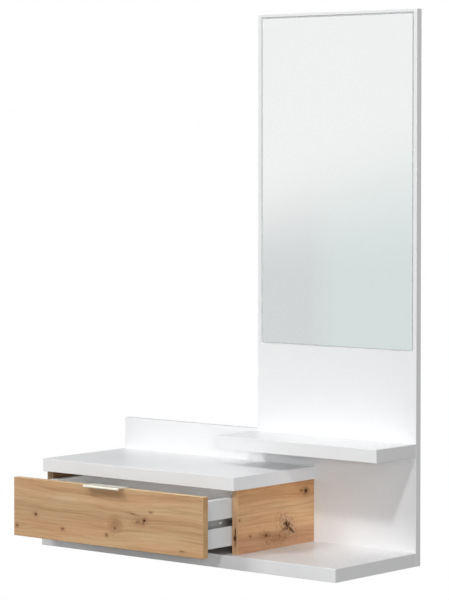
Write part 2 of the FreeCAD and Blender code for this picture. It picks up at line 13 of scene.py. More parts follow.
import bmesh
import bpy
from mathutils import Matrix, Vector


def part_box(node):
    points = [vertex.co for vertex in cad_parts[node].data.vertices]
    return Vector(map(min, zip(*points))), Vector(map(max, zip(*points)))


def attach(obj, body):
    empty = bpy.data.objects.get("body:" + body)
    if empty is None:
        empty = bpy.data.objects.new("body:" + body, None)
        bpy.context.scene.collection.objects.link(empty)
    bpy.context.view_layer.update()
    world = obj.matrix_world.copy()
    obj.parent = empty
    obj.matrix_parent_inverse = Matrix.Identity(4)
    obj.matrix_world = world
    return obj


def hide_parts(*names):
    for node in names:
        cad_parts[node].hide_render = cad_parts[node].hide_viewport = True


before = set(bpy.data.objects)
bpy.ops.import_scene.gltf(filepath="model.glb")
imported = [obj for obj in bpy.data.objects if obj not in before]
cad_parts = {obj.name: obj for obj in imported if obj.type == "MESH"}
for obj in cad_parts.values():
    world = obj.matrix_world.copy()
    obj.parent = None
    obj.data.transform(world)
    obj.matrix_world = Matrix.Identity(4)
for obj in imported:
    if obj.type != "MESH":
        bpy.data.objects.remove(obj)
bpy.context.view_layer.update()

Colour = tuple[float, float, float]
Point = tuple[float, float, float]
Span = tuple[float, float]
Box = tuple[Vector, Vector]
Socket = bpy.types.NodeSocket
Sockets = bpy.types.NodeOutputs
Value = float | Colour | Socket

log = logging.getLogger("hall_console")
FULL_TURN = 2 * math.pi
GOLDEN_TURN = math.radians(137.5)
SHARP_EDGE = math.radians(38)
FLAT = 0.99  # a face looks along an axis where that part of its normal is larger
MERGE = 1e-6  # points closer than this are one point
PROUD = 0.001  # how far a cutter stands out of the board
NOISE_MIDDLE = 0.5  # noise swings about this value
SORT_DIGITS = 4  # decimals that decide the order of solids
INTO_ROOM = Vector((0, -1, 0))
INTO_WALL = Vector((0, 1, 0))
UPWARD = Vector((0, 0, 1))
CABINET_MIDDLE = sum(corner.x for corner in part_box("cabinet_top")) / 2


class Axis(Enum):
    """The three directions of the frame."""

    X = 0
    Y = 1
    Z = 2


class Body(Enum):
    """The bodies that new pieces ride on."""

    CARCASS = "carcass"
    DRAWER = "drawer"


class Side(Enum):
    """The two sides of the cabinet, with the sign of their outward X."""

    LEFT = -1
    RIGHT = 1

    @property
    def word(self) -> str:
        """The side's name as the nodes spell it."""
        return self.name.lower()

    @property
    def outward(self) -> Vector:
        """The direction away from the cabinet's middle."""
        return Vector((self.value, 0, 0))

    def faces(self, node: str) -> Span:
        """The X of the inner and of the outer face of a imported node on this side."""
        low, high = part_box(node)
        return (high.x, low.x) if self is Side.LEFT else (low.x, high.x)

    def holds(self, spot: Vector) -> bool:
        """Whether a place lies on this side of the cabinet's middle."""
        return (spot.x > CABINET_MIDDLE) == (self is Side.RIGHT)


class Heading(Enum):
    """Where a screw points from its head; along X, that holds for the cabinet's right side."""

    FORWARD = (0, -1, 0)
    RISING = (0, 0, 1)
    OUTWARD = (1, 0, 0)
    INWARD = (-1, 0, 0)

    def way(self, spot: Vector) -> Vector:
        """The direction of a screw at a place: along X it turns round on the left side."""
        x, y, z = self.value
        return Vector((-x if x and Side.LEFT.holds(spot) else x, y, z))


class NodeSheet:
    """A node tree with short calls that add nodes and join them."""

    NUMBERS: ClassVar[tuple[str, ...]] = ("DOT_PRODUCT", "LENGTH")

    def __init__(self, tree: bpy.types.NodeTree) -> None:
        """Keep the tree that the calls work on."""
        self.tree = tree

    def feed(self, socket: Socket, value: Value) -> None:
        """Join a socket to another one, or set its own value.

        Args:
            socket: the input to feed.
            value: an output, a number or a colour.
        """
        if isinstance(value, bpy.types.NodeSocket):
            self.tree.links.new(value, socket)
        elif socket.type == "RGBA":
            socket.default_value = (*value, 1.0)
        else:
            socket.default_value = value

    def add(self, kind: str, inputs: dict | None = None, **settings: object) -> bpy.types.Node:
        """Add a node.

        Args:
            kind: the node's type.
            inputs: values or sockets by input name or number.
            **settings: properties of the node.

        Returns:
            The new node.
        """
        node = self.tree.nodes.new(kind)
        for key, value in settings.items():
            setattr(node, key, value)
        for key, value in (inputs or {}).items():
            self.feed(node.inputs[key], value)
        return node

    def place(self) -> Socket:
        """A point's place in its own object, which is its place in the frame."""
        return self.add("ShaderNodeTexCoord").outputs["Object"]

    def parts(self, vector: Socket) -> Sockets:
        """The three numbers of a vector."""
        return self.add("ShaderNodeSeparateXYZ", {0: vector}).outputs

    def math(self, operation: str, first: Value, second: Value = 0.0) -> Socket:
        """The result of a sum on two numbers."""
        return self.add("ShaderNodeMath", {0: first, 1: second}, operation=operation).outputs[0]

    def weigh(self, share: float, first: Value, second: Value) -> Socket:
        """Two numbers added up, the first by a share and the second by the rest."""
        rest = self.math("MULTIPLY", second, 1.0 - share)
        return self.math("ADD", self.math("MULTIPLY", first, share), rest)

    def vector(self, operation: str, first: Value, second: Value = (0.0, 0.0, 0.0)) -> Socket:
        """The result of a sum on two vectors."""
        node = self.add("ShaderNodeVectorMath", {0: first, 1: second}, operation=operation)
        return node.outputs["Value" if operation in self.NUMBERS else "Vector"]

    def combine(self, x: Value, y: Value, z: Value) -> Socket:
        """A vector of three numbers."""
        return self.add("ShaderNodeCombineXYZ", {0: x, 1: y, 2: z}).outputs[0]

    def noise(self, place: Socket, scale: Value = 1.0, detail: float = 2.0, colour: bool = False) -> Socket:
        """Cloudy noise over a place, as a value or as three."""
        node = self.add("ShaderNodeTexNoise", {"Vector": place, "Scale": scale, "Detail": detail})
        return node.outputs["Color" if colour else "Fac"]

    def stretched(self, place: Socket, pitch: Value, detail: float = 2.0) -> Socket:
        """Noise with a pitch of its own along each axis."""
        return self.noise(self.vector("MULTIPLY", place, pitch), 1.0, detail)

    def remap(self, value: Value, low: Value, high: Value, start: Value = 0.0, end: Value = 1.0) -> Socket:
        """A value moved from one range to another and held inside it."""
        names = ("Value", "From Min", "From Max", "To Min", "To Max")
        return self.add("ShaderNodeMapRange", dict(zip(names, (value, low, high, start, end)))).outputs[0]

    def mix(self, share: Value, first: Value, second: Value, blend: str = "MIX") -> Socket:
        """A blend of two colours."""
        inputs = {0: share, 6: first, 7: second}  # the colour sockets by number, as their names repeat
        return self.add("ShaderNodeMix", inputs, data_type="RGBA", blend_type=blend).outputs[2]

    def ramp(self, value: Socket, stops: Sequence[tuple[float, Colour]]) -> Socket:
        """A colour picked from stops along a value.

        Args:
            value: where to pick.
            stops: the place and colour of each stop.

        Returns:
            The colour.
        """
        node = self.add("ShaderNodeValToRGB", {0: value})
        elements = node.color_ramp.elements
        while len(elements) < len(stops):
            elements.new(1.0)
        for element, (position, colour) in zip(elements, stops):
            element.position = position
            element.color = (*colour, 1.0)
        return node.outputs[0]

    def bump(self, height: Socket, strength: float, distance: float) -> Socket:
        """A normal that follows a small relief."""
        inputs = {"Height": height, "Strength": strength, "Distance": distance}
        return self.add("ShaderNodeBump", inputs).outputs[0]

    def show(self, share: Value, first: bpy.types.Node, second: bpy.types.Node) -> None:
        """Send a blend of two shaders to the tree's output.

        Args:
            share: the second shader's share.
            first: the shader where the share is 0.
            second: the shader where the share is 1.
        """
        both = self.add("ShaderNodeMixShader", {0: share, 1: first.outputs[0], 2: second.outputs[0]})
        output = next(node for node in self.tree.nodes if node.type.startswith("OUTPUT"))
        self.feed(output.inputs["Surface"], both.outputs[0])


class EffectGroup:
    """A shader node group with named sockets, built once and placed in any finish."""

    title: ClassVar[str] = ""
    takes: ClassVar[dict[str, str]] = {}
    gives: ClassVar[dict[str, str]] = {}

    @classmethod
    def wire(cls, nodes: NodeSheet, given: Sockets) -> dict[str, Socket]:
        """Build the inside of the group.

        Args:
            nodes: the group's own tree.
            given: the sockets that bring the group's inputs.

        Returns:
            The socket for each output name.
        """
        raise NotImplementedError

    @classmethod
    def tree(cls) -> bpy.types.NodeTree:
        """The group's tree, made at its first use.

        Returns:
            The tree.
        """
        tree = bpy.data.node_groups.get(cls.title)
        if tree is None:
            tree = bpy.data.node_groups.new(cls.title, "ShaderNodeTree")
            for way, sockets in (("INPUT", cls.takes), ("OUTPUT", cls.gives)):
                for name, kind in sockets.items():
                    tree.interface.new_socket(name, in_out=way, socket_type=f"NodeSocket{kind}")
            nodes = NodeSheet(tree)
            made = cls.wire(nodes, nodes.add("NodeGroupInput").outputs)
            nodes.add("NodeGroupOutput", made)
        return tree

    @classmethod
    def use(cls, nodes: NodeSheet, **values: Value) -> Sockets:
        """Place the group in a finish.

        Args:
            nodes: the finish's tree.
            **values: a value or socket for each input.

        Returns:
            The group's outputs.
        """
        node = nodes.add("ShaderNodeGroup", node_tree=cls.tree())
        for name, value in values.items():
            nodes.feed(node.inputs[name], value)
        return node.outputs


class ToneDrift(EffectGroup):
    """A colour that drifts slightly over a surface."""

    title = "Tone drift"
    takes = {"Light": "Color", "Deep": "Color", "Scale": "Float"}
    gives = {"Color": "Color"}
    FINER: ClassVar[float] = 23.0
    BROAD: ClassVar[float] = 0.7
    SPREAD: ClassVar[Span] = (0.34, 0.66)

    @classmethod
    def wire(cls, nodes: NodeSheet, given: Sockets) -> dict[str, Socket]:
        """Mix broad clouds with a finer speckle.

        Args:
            nodes: the group's own tree.
            given: the two tones and the scale.

        Returns:
            The drifting colour.
        """
        place = nodes.place()
        broad = nodes.noise(place, given["Scale"], detail=3.0)
        fine = nodes.noise(place, nodes.math("MULTIPLY", given["Scale"], cls.FINER))
        share = nodes.remap(nodes.weigh(cls.BROAD, broad, fine), *cls.SPREAD)
        return {"Color": nodes.mix(share, given["Light"], given["Deep"])}


class SurfaceTooth(EffectGroup):
    """A fine tooth that varies roughness and height."""

    title = "Surface tooth"
    takes = {"Pitch": "Vector", "Smooth": "Float", "Rough": "Float"}
    gives = {"Roughness": "Float", "Height": "Float"}
    SPREAD: ClassVar[Span] = (0.3, 0.7)

    @classmethod
    def wire(cls, nodes: NodeSheet, given: Sockets) -> dict[str, Socket]:
        """Stretch noise by the pitch along each axis.

        Args:
            nodes: the group's own tree.
            given: the pitch and the range of roughness.

        Returns:
            The roughness and the height.
        """
        grain = nodes.stretched(nodes.place(), given["Pitch"], detail=3.0)
        roughness = nodes.remap(grain, *cls.SPREAD, given["Smooth"], given["Rough"])
        return {"Roughness": roughness, "Height": grain}


class EdgeWear(EffectGroup):
    """A rubbed tone that shows in patches along eased edges."""

    title = "Edge wear"
    takes = {"Color": "Color", "Worn": "Color", "Amount": "Float"}
    gives = {"Color": "Color"}
    PATCHES: ClassVar[float] = 45.0
    SPREAD: ClassVar[Span] = (0.35, 0.65)

    @classmethod
    def wire(cls, nodes: NodeSheet, given: Sockets) -> dict[str, Socket]:
        """Break the edge mask up with noise.

        Args:
            nodes: the group's own tree.
            given: the colour, its worn tone and the amount of wear.

        Returns:
            The colour with its worn edges.
        """
        edge = nodes.add("ShaderNodeAttribute", attribute_name=Blank.EASED).outputs["Fac"]
        patches = nodes.remap(nodes.noise(nodes.place(), cls.PATCHES, detail=4.0), *cls.SPREAD)
        mask = nodes.math("MULTIPLY", nodes.math("MULTIPLY", edge, patches), given["Amount"])
        return {"Color": nodes.mix(mask, given["Color"], given["Worn"])}


class KnotMark(EffectGroup):
    """One knot in a board: it bends the grain round itself and marks its heart, halo, rim and whorl."""

    title = "Knot mark"
    takes = {"Vector": "Vector", "Place": "Vector", "Centre": "Vector", "Lean": "Vector", "Reach": "Vector",
             "Push": "Float", "Ragged": "Float"}
    gives = {"Vector": "Vector", "Heart": "Float", "Halo": "Float", "Rim": "Float", "Whorl": "Float"}
    NEAR: ClassVar[float] = 0.25
    FALL: ClassVar[float] = -2.0
    TEAR: ClassVar[float] = 170.0
    TURNS: ClassVar[float] = 5.0
    RIM: ClassVar[float] = 1.7
    RIM_FADE: ClassVar[Span] = (0.6, 0.1)
    HEART_FADE: ClassVar[Span] = (1.0, 0.55)
    HALO_FADE: ClassVar[Span] = (2.6, 0.7)
    WHORL_FADE: ClassVar[Span] = (4.2, 1.4)
    WHORL_BREAKS: ClassVar[Span] = (0.3, 0.5)

    @classmethod
    def wire(cls, nodes: NodeSheet, given: Sockets) -> dict[str, Socket]:
        """Measure from the knot's centre, along and across its lean, in units of its reach.

        Args:
            nodes: the group's own tree.
            given: the places in the board and the knot's measures.

        Returns:
            The bent place and the four marks.
        """
        offset = nodes.vector("SUBTRACT", given["Place"], given["Centre"])
        along = nodes.vector("DOT_PRODUCT", offset, given["Lean"])
        across = nodes.vector("CROSS_PRODUCT", (0.0, 0.0, 1.0), given["Lean"])
        aside = nodes.vector("DOT_PRODUCT", offset, across)
        spans = nodes.vector("DIVIDE", nodes.combine(along, aside, 0.0), given["Reach"])
        near = nodes.math("MULTIPLY", nodes.vector("DOT_PRODUCT", spans, spans), cls.NEAR)
        push = nodes.math("POWER", nodes.math("ADD", near, 1.0), cls.FALL)
        push = nodes.combine(0.0, nodes.math("MULTIPLY", push, given["Push"]), 0.0)
        bent = nodes.vector("SUBTRACT", given["Vector"], nodes.vector("MULTIPLY", offset, push))
        torn = nodes.noise(given["Place"], cls.TEAR, detail=3.0, colour=True)
        torn = nodes.vector("SUBTRACT", torn, even(NOISE_MIDDLE))
        rag = nodes.combine(given["Ragged"], given["Ragged"], 0.0)
        ragged = nodes.vector("ADD", spans, nodes.vector("MULTIPLY", torn, rag))
        reach = nodes.vector("LENGTH", ragged)
        parts = nodes.parts(ragged)
        turn = nodes.math("ARCTAN2", parts["Y"], parts["X"])
        phase = nodes.math("ADD", nodes.math("MULTIPLY", reach, cls.TURNS), turn)
        wave = nodes.remap(nodes.math("SINE", phase), 0.0, 1.0)
        broken = nodes.remap(nodes.noise(given["Place"], cls.TEAR / 2), *cls.WHORL_BREAKS)
        fade = nodes.math("MULTIPLY", nodes.remap(reach, *cls.WHORL_FADE), broken)
        off_rim = nodes.math("ABSOLUTE", nodes.math("SUBTRACT", reach, cls.RIM))
        return {"Vector": bent, "Heart": nodes.remap(reach, *cls.HEART_FADE),
                "Halo": nodes.remap(reach, *cls.HALO_FADE), "Rim": nodes.remap(off_rim, *cls.RIM_FADE),
                "Whorl": nodes.math("MULTIPLY", wave, fade)}


class OakGrain(EffectGroup):
    """Rings, streaks, pores and blush of an oak board, along its first direction."""

    LAYERS: ClassVar[dict[str, tuple[Point, float, Span]]] = {
        "Rings": ((1.5, 58.0, 2.0), 5.0, (0.3, 0.7)),
        "Streaks": ((8.0, 290.0, 9.0), 3.0, (0.32, 0.68)),
        "Pores": ((30.0, 520.0, 60.0), 1.0, (0.58, 0.7)),
        "Blush": ((5.0, 24.0, 5.0), 2.0, (0.42, 0.62)),
    }
    SWAY: ClassVar[Point] = (3.2, 7.0, 2.0)
    SWING: ClassVar[float] = 0.05
    title = "Oak grain"
    takes = {"Vector": "Vector"}
    gives = dict.fromkeys(LAYERS, "Float")

    @classmethod
    def wire(cls, nodes: NodeSheet, given: Sockets) -> dict[str, Socket]:
        """Lay stretched noises over a board whose lines sway.

        Args:
            nodes: the group's own tree.
            given: the place in the board.

        Returns:
            The strength of each layer.
        """
        sway = nodes.math("SUBTRACT", nodes.stretched(given["Vector"], cls.SWAY), NOISE_MIDDLE)
        sway = nodes.combine(0.0, nodes.math("MULTIPLY", sway, cls.SWING), 0.0)
        swayed = nodes.vector("ADD", given["Vector"], sway)
        return {name: nodes.remap(nodes.stretched(swayed, pitch, detail), *spread)
                for name, (pitch, detail, spread) in cls.LAYERS.items()}


def fresh_paint(name: str) -> bpy.types.Material:
    """A new material with a plain shader.

    Args:
        name: its name.

    Returns:
        The material.
    """
    paint = bpy.data.materials.new(name)
    paint.use_nodes = True
    return paint


def even(pitch: float) -> Point:
    """The same pitch along each axis."""
    return pitch, pitch, pitch


@dataclass(frozen=True)
class Finish:
    """A surface finish that makes its own node material once."""

    name: str

    def dress(self, nodes: NodeSheet, shader: bpy.types.Node) -> None:
        """Wire the finish into a material's shader.

        Args:
            nodes: the material's tree.
            shader: its Principled BSDF.
        """
        raise NotImplementedError

    def material(self) -> bpy.types.Material:
        """The finish as a material, made at its first use.

        Returns:
            The material.
        """
        made = bpy.data.materials.get(self.name)
        if made is None:
            made = fresh_paint(self.name)
            self.dress(NodeSheet(made.node_tree), made.node_tree.nodes["Principled BSDF"])
        return made


@dataclass(frozen=True)
class Coat(Finish):
    """A coat of near-even colour with a fine tooth: melamine, foil, paint or bare metal."""

    light: Colour
    deep: Colour
    worn: Colour
    drift: float = 5.0
    wear: float = 0.5
    pitch: Point = even(1400.0)
    smooth: float = 0.34
    rough: float = 0.46
    strength: float = 0.2
    relief: float = 0.00005
    sockets: tuple[tuple[str, float], ...] = ()

    def tone(self, nodes: NodeSheet) -> Socket:
        """The coat's colour before wear."""
        return ToneDrift.use(nodes, Light=self.light, Deep=self.deep, Scale=self.drift)["Color"]

    def dress(self, nodes: NodeSheet, shader: bpy.types.Node) -> None:
        """Colour with worn edges, over a fine tooth.

        Args:
            nodes: the material's tree.
            shader: its Principled BSDF.
        """
        tooth = SurfaceTooth.use(nodes, Pitch=self.pitch, Smooth=self.smooth, Rough=self.rough)
        worn = EdgeWear.use(nodes, Color=self.tone(nodes), Worn=self.worn, Amount=self.wear)
        for name, value in self.sockets:
            shader.inputs[name].default_value = value
        nodes.feed(shader.inputs["Base Color"], worn["Color"])
        nodes.feed(shader.inputs["Roughness"], tooth["Roughness"])
        nodes.feed(shader.inputs["Normal"], nodes.bump(tooth["Height"], self.strength, self.relief))


@dataclass(frozen=True)
class CellCoat(Coat):
    """A coat whose colour steps from cell to cell: zinc spangle, chipped wood or foam."""

    cells: float = 300.0
    WEIGHTS: ClassVar[Point] = (0.4, 0.35, 0.25)

    def tone(self, nodes: NodeSheet) -> Socket:
        """One tone for each cell.

        Args:
            nodes: the material's tree.

        Returns:
            The colour.
        """
        cell = nodes.add("ShaderNodeTexVoronoi", {"Vector": nodes.place(), "Scale": self.cells})
        share = nodes.vector("DOT_PRODUCT", cell.outputs["Color"], self.WEIGHTS)
        return nodes.mix(share, self.light, self.deep)


@dataclass(frozen=True)
class TwoFaced(Coat):
    """A thin sheet that is lacquered on top and bare below."""

    bare: Colour = (0.3, 0.2, 0.12)
    bare_deep: Colour = (0.21, 0.14, 0.084)
    fibres: float = 420.0
    SPREAD: ClassVar[Span] = (0.35, 0.65)
    LACQUER_EDGE: ClassVar[Span] = (0.4, 0.6)

    def tone(self, nodes: NodeSheet) -> Socket:
        """Lacquer where the surface looks up, bare board elsewhere.

        Args:
            nodes: the material's tree.

        Returns:
            The colour.
        """
        up = nodes.parts(nodes.add("ShaderNodeTexCoord").outputs["Normal"])["Z"]
        fibres = nodes.remap(nodes.noise(nodes.place(), self.fibres, detail=4.0), *self.SPREAD)
        bare = nodes.mix(fibres, self.bare, self.bare_deep)
        return nodes.mix(nodes.remap(up, *self.LACQUER_EDGE), bare, super().tone(nodes))


@dataclass(frozen=True)
class Knot:
    """A knot at a place along and across a board, with its half sizes, its marks' strengths and its tilt."""

    along: float
    across: float
    long: float
    tall: float
    dark: float = 0.9
    halo: float = 0.4
    whorl: float = 0.0
    rim: float = 0.0
    push: float = 0.6
    ragged: float = 1.6
    tilt: float = 0.0

    def marks(self) -> dict[str, float]:
        """The strength of each mark by its name."""
        return {"Heart": self.dark, "Halo": self.halo, "Rim": self.rim, "Whorl": self.whorl}

    def lay(self, nodes: NodeSheet, place: Socket, bent: Socket) -> Sockets:
        """Mark the knot on a board.

        Args:
            nodes: the material's tree.
            place: the place in the board, along and across it.
            bent: the same place, bent by the knots before this one.

        Returns:
            The knot's marks and the place as it bends that.
        """
        tilt = math.radians(self.tilt)
        return KnotMark.use(nodes, Vector=bent, Place=place, Centre=(self.along, self.across, 0.0),
                            Lean=(math.cos(tilt), math.sin(tilt), 0.0), Reach=(self.long, self.tall, 1.0),
                            Push=self.push, Ragged=self.ragged)


@dataclass(frozen=True)
class OakDecor(Finish):
    """An oak-look face with rings, streaks, pores, knots and staves of differing tint."""

    along: Axis
    across: Axis
    light: Colour = (0.698, 0.483, 0.287)
    middle: Colour = (0.63, 0.418, 0.236)
    dark: Colour = (0.494, 0.304, 0.162)
    blush: Colour = (0.97, 0.89, 0.85)
    halo: Colour = (0.27, 0.118, 0.044)
    rim: Colour = (0.80, 0.60, 0.43)
    heart: Colour = (0.042, 0.010, 0.002)
    worn: Colour = (0.70, 0.50, 0.31)
    knots: tuple[Knot, ...] = ()
    staves: tuple[tuple[float, Colour], ...] = ((0.0, (1.0, 1.0, 1.0)), (1.0, (1.0, 1.0, 1.0)))
    smooth: float = 0.4
    rough: float = 0.56
    shine: float = 0.12
    LINE_STOPS: ClassVar[Point] = (0.1, 0.5, 0.9)
    RING_SHARE: ClassVar[float] = 0.5
    PORE_SHARE: ClassVar[float] = 0.35
    WEAR: ClassVar[float] = 0.5
    STREAK_RELIEF: ClassVar[float] = 0.3
    GLOSS_SPREAD: ClassVar[Span] = (0.2, 0.8)
    BUMP: ClassVar[Span] = (0.35, 0.0001)

    def stave_tint(self, nodes: NodeSheet, level: Socket) -> Socket:
        """The tint of the stave at a level across the board.

        Args:
            nodes: the material's tree.
            level: the place across the board.

        Returns:
            The tint.
        """
        low, high = self.staves[0][0], self.staves[-1][0]
        stops = [((start - low) / (high - low), tint) for start, tint in self.staves]
        return nodes.ramp(nodes.remap(level, low, high), stops)

    def lay_knots(self, nodes: NodeSheet, place: Socket) -> tuple[Socket, dict[str, Socket]]:
        """Bend the grain round the knots.

        Args:
            nodes: the material's tree.
            place: the place in the board, along and across it.

        Returns:
            The bent place, and the strength of each kind of mark.
        """
        bent, marks = place, {}
        for knot in self.knots:
            mark = knot.lay(nodes, place, bent)
            bent = mark["Vector"]
            for name, share in knot.marks().items():
                if share:
                    scaled = nodes.math("MULTIPLY", mark[name], share)
                    marks[name] = nodes.math("MAXIMUM", scaled, marks.get(name, 0.0))
        return bent, marks

    def dress(self, nodes: NodeSheet, shader: bpy.types.Node) -> None:
        """Colour the grain and its knots and sink its pores.

        Args:
            nodes: the material's tree.
            shader: its Principled BSDF.
        """
        parts = nodes.parts(nodes.place())
        through = next(axis for axis in Axis if axis not in (self.along, self.across))
        place = nodes.combine(*(parts[axis.value] for axis in (self.along, self.across, through)))
        bent, marks = self.lay_knots(nodes, place)
        grain = OakGrain.use(nodes, Vector=bent)
        lines = nodes.weigh(self.RING_SHARE, grain["Rings"], grain["Streaks"])
        colour = nodes.ramp(lines, list(zip(self.LINE_STOPS, (self.dark, self.middle, self.light))))
        colour = nodes.mix(nodes.math("MULTIPLY", grain["Pores"], self.PORE_SHARE), colour, self.dark)
        colour = nodes.mix(grain["Blush"], colour, nodes.mix(1.0, colour, self.blush, "MULTIPLY"))
        colour = nodes.mix(1.0, colour, self.stave_tint(nodes, parts[self.across.value]), "MULTIPLY")
        tones = {"Halo": self.halo, "Rim": self.rim, "Whorl": self.halo, "Heart": self.heart}
        for name, tone in tones.items():
            if name in marks:
                colour = nodes.mix(marks[name], colour, tone)
        worn = EdgeWear.use(nodes, Color=colour, Worn=self.worn, Amount=self.WEAR)
        relief = nodes.math("MULTIPLY", grain["Streaks"], self.STREAK_RELIEF)
        relief = nodes.math("SUBTRACT", relief, grain["Pores"])
        roughness = nodes.remap(grain["Streaks"], *self.GLOSS_SPREAD, self.rough, self.smooth)
        nodes.feed(shader.inputs["Base Color"], worn["Color"])
        nodes.feed(shader.inputs["Roughness"], roughness)
        nodes.feed(shader.inputs["Normal"], nodes.bump(relief, *self.BUMP))
        shader.inputs["Specular IOR Level"].default_value = self.shine


@dataclass(frozen=True)
class Silvering(Finish):
    """A silvered mirror face with the faint haze of a wiped glass."""

    light: Colour = (0.868, 0.884, 0.876)
    deep: Colour = (0.86, 0.88, 0.871)
    drift: float = 2.0
    pitch: Point = (3.0, 3.0, 5.0)
    smooth: float = 0.004
    rough: float = 0.022

    def dress(self, nodes: NodeSheet, shader: bpy.types.Node) -> None:
        """Near-perfect reflection with a little drift in tone and haze.

        Args:
            nodes: the material's tree.
            shader: its Principled BSDF.
        """
        haze = SurfaceTooth.use(nodes, Pitch=self.pitch, Smooth=self.smooth, Rough=self.rough)
        tone = ToneDrift.use(nodes, Light=self.light, Deep=self.deep, Scale=self.drift)
        shader.inputs["Metallic"].default_value = 1.0
        nodes.feed(shader.inputs["Base Color"], tone["Color"])
        nodes.feed(shader.inputs["Roughness"], haze["Roughness"])


# Finishes of the console: name, light tone, deep tone and rubbed tone first
METAL = (("Metallic", 1.0),)
WHITE_FACE = Coat("white_melamine", (0.86, 0.865, 0.872), (0.845, 0.85, 0.858), (0.88, 0.884, 0.888),
                  smooth=0.24, rough=0.34)
WHITE_BAND = Coat("white_edge_band", (0.855, 0.86, 0.866), (0.84, 0.845, 0.852), (0.88, 0.884, 0.888),
                  pitch=even(500.0), smooth=0.3, rough=0.4)
PRIMED = Coat("primed_pocket", (0.92, 0.925, 0.93), (0.90, 0.905, 0.91), (0.93, 0.93, 0.93),
              smooth=0.5, rough=0.7)
CORE = CellCoat("bare_chipboard", (0.52, 0.38, 0.24), (0.27, 0.17, 0.09), (0.55, 0.42, 0.28), cells=520.0,
                pitch=even(380.0), smooth=0.8, rough=0.97, strength=0.8, relief=0.0005)
FOIL = Coat("drawer_foil", (0.75, 0.77, 0.775), (0.725, 0.745, 0.75), (0.80, 0.81, 0.81), drift=8.0,
            pitch=(90.0, 90.0, 1600.0), smooth=0.36, rough=0.5)
# A paler copy of the drawer foil, as painted light: it makes the inside of the drawer, its back board and the
# lacquered top of its bottom lighter than the outside of its sides.
PALE_FOIL_PAINTED_LIGHT = replace(FOIL, name="drawer_foil_painted_light", light=(0.93, 0.93, 0.925), deep=(0.91, 0.91, 0.905),
                    worn=(0.94, 0.94, 0.935))
HARDBOARD = TwoFaced("lacquered_hardboard", PALE_FOIL_PAINTED_LIGHT.light, PALE_FOIL_PAINTED_LIGHT.deep, (0.6, 0.5, 0.4),
                     smooth=0.4, rough=0.6)
BEECH = CellCoat("beech_dowel", (0.62, 0.42, 0.26), (0.52, 0.33, 0.19), (0.66, 0.48, 0.32), cells=240.0,
                 pitch=even(900.0), smooth=0.55, rough=0.75, strength=0.4, relief=0.0002)
SILVER = Silvering("silvered_glass")
GLASS_EDGE = Coat("ground_glass_edge", (0.74, 0.80, 0.78), (0.66, 0.73, 0.71), (0.82, 0.86, 0.84), drift=40.0,
                  pitch=even(900.0), smooth=0.18, rough=0.34, sockets=(("Coat Weight", 0.6),))
BACK_PAINT = Coat("mirror_back_paint", (0.30, 0.33, 0.33), (0.26, 0.29, 0.29), (0.4, 0.42, 0.42),
                  smooth=0.5, rough=0.7)
FOAM = CellCoat("foam_tape", (0.80, 0.80, 0.78), (0.66, 0.66, 0.64), (0.84, 0.84, 0.82), cells=2600.0,
                smooth=0.8, rough=0.95, strength=0.7, relief=0.0002)
ZINC = CellCoat("zinc_plate", (0.66, 0.67, 0.69), (0.52, 0.53, 0.55), (0.76, 0.77, 0.78), cells=170.0,
                pitch=even(260.0), smooth=0.3, rough=0.46, sockets=METAL)
RAIL = Coat("rolled_steel", (0.30, 0.312, 0.31), (0.19, 0.20, 0.198), (0.42, 0.43, 0.43), drift=30.0,
            pitch=(900.0, 25.0, 900.0), smooth=0.36, rough=0.54, sockets=(("Metallic", 0.8),))
CAGE = Coat("cage_strip", (0.34, 0.35, 0.36), (0.26, 0.27, 0.28), (0.48, 0.49, 0.5), drift=60.0,
            pitch=(700.0, 60.0, 700.0), smooth=0.32, rough=0.5, sockets=METAL)
BALL = Coat("polished_ball", (0.78, 0.79, 0.8), (0.72, 0.73, 0.74), (0.85, 0.85, 0.86), drift=90.0,
            pitch=even(600.0), smooth=0.06, rough=0.16, sockets=METAL)
ALUMINIUM = Coat("satin_aluminium_pull", (0.73, 0.69, 0.59), (0.68, 0.64, 0.545), (0.80, 0.77, 0.69),
                 drift=30.0, pitch=(18.0, 2200.0, 2200.0), smooth=0.3, rough=0.46, strength=0.3,
                 sockets=(*METAL, ("Anisotropic", 0.5)))
BUMPER = Coat("clear_bumper_dot", (0.82, 0.84, 0.84), (0.76, 0.79, 0.79), (0.88, 0.89, 0.89), drift=120.0,
              pitch=even(500.0), smooth=0.12, rough=0.26,
              sockets=(("Transmission Weight", 0.7), ("IOR", 1.49)))
FRONT_OAK = OakDecor(
    "oak_drawer_front", Axis.X, Axis.Z,
    knots=(Knot(-0.339, -0.047, 0.0048, 0.004, 0.8), Knot(-0.0257, -0.0335, 0.0056, 0.0044, 0.95, whorl=0.3),
           Knot(-0.0287, -0.0395, 0.0035, 0.003, 0.5, whorl=0.3),
           Knot(-0.107, -0.050, 0.010, 0.009, 0.0, 0.5, 0.1),
           Knot(-0.1085, -0.057, 0.0042, 0.0036, 0.5), Knot(-0.132, -0.073, 0.0038, 0.0034, 0.55),
           Knot(-0.259, -0.072, 0.0042, 0.003, 0.5), Knot(-0.395, -0.076, 0.0038, 0.003, 0.55),
           Knot(-0.008, -0.0147, 0.0042, 0.0022, 0.45), Knot(-0.057, -0.0224, 0.011, 0.0016, 0.45, tilt=-6.0),
           Knot(-0.044, -0.0374, 0.0075, 0.0048, 0.35, 0.3, 0.35), Knot(0.0774, -0.0879, 0.0052, 0.002, 0.5)),
    staves=((-0.0985, (1.05, 1.05, 1.02)), (-0.066, (1.0, 0.99, 0.98)), (-0.046, (0.93, 0.89, 0.87)),
            (-0.024, (0.96, 0.94, 0.92)), (-0.006, (1.03, 1.04, 1.04)), (0.0285, (1.0, 1.0, 0.99))))
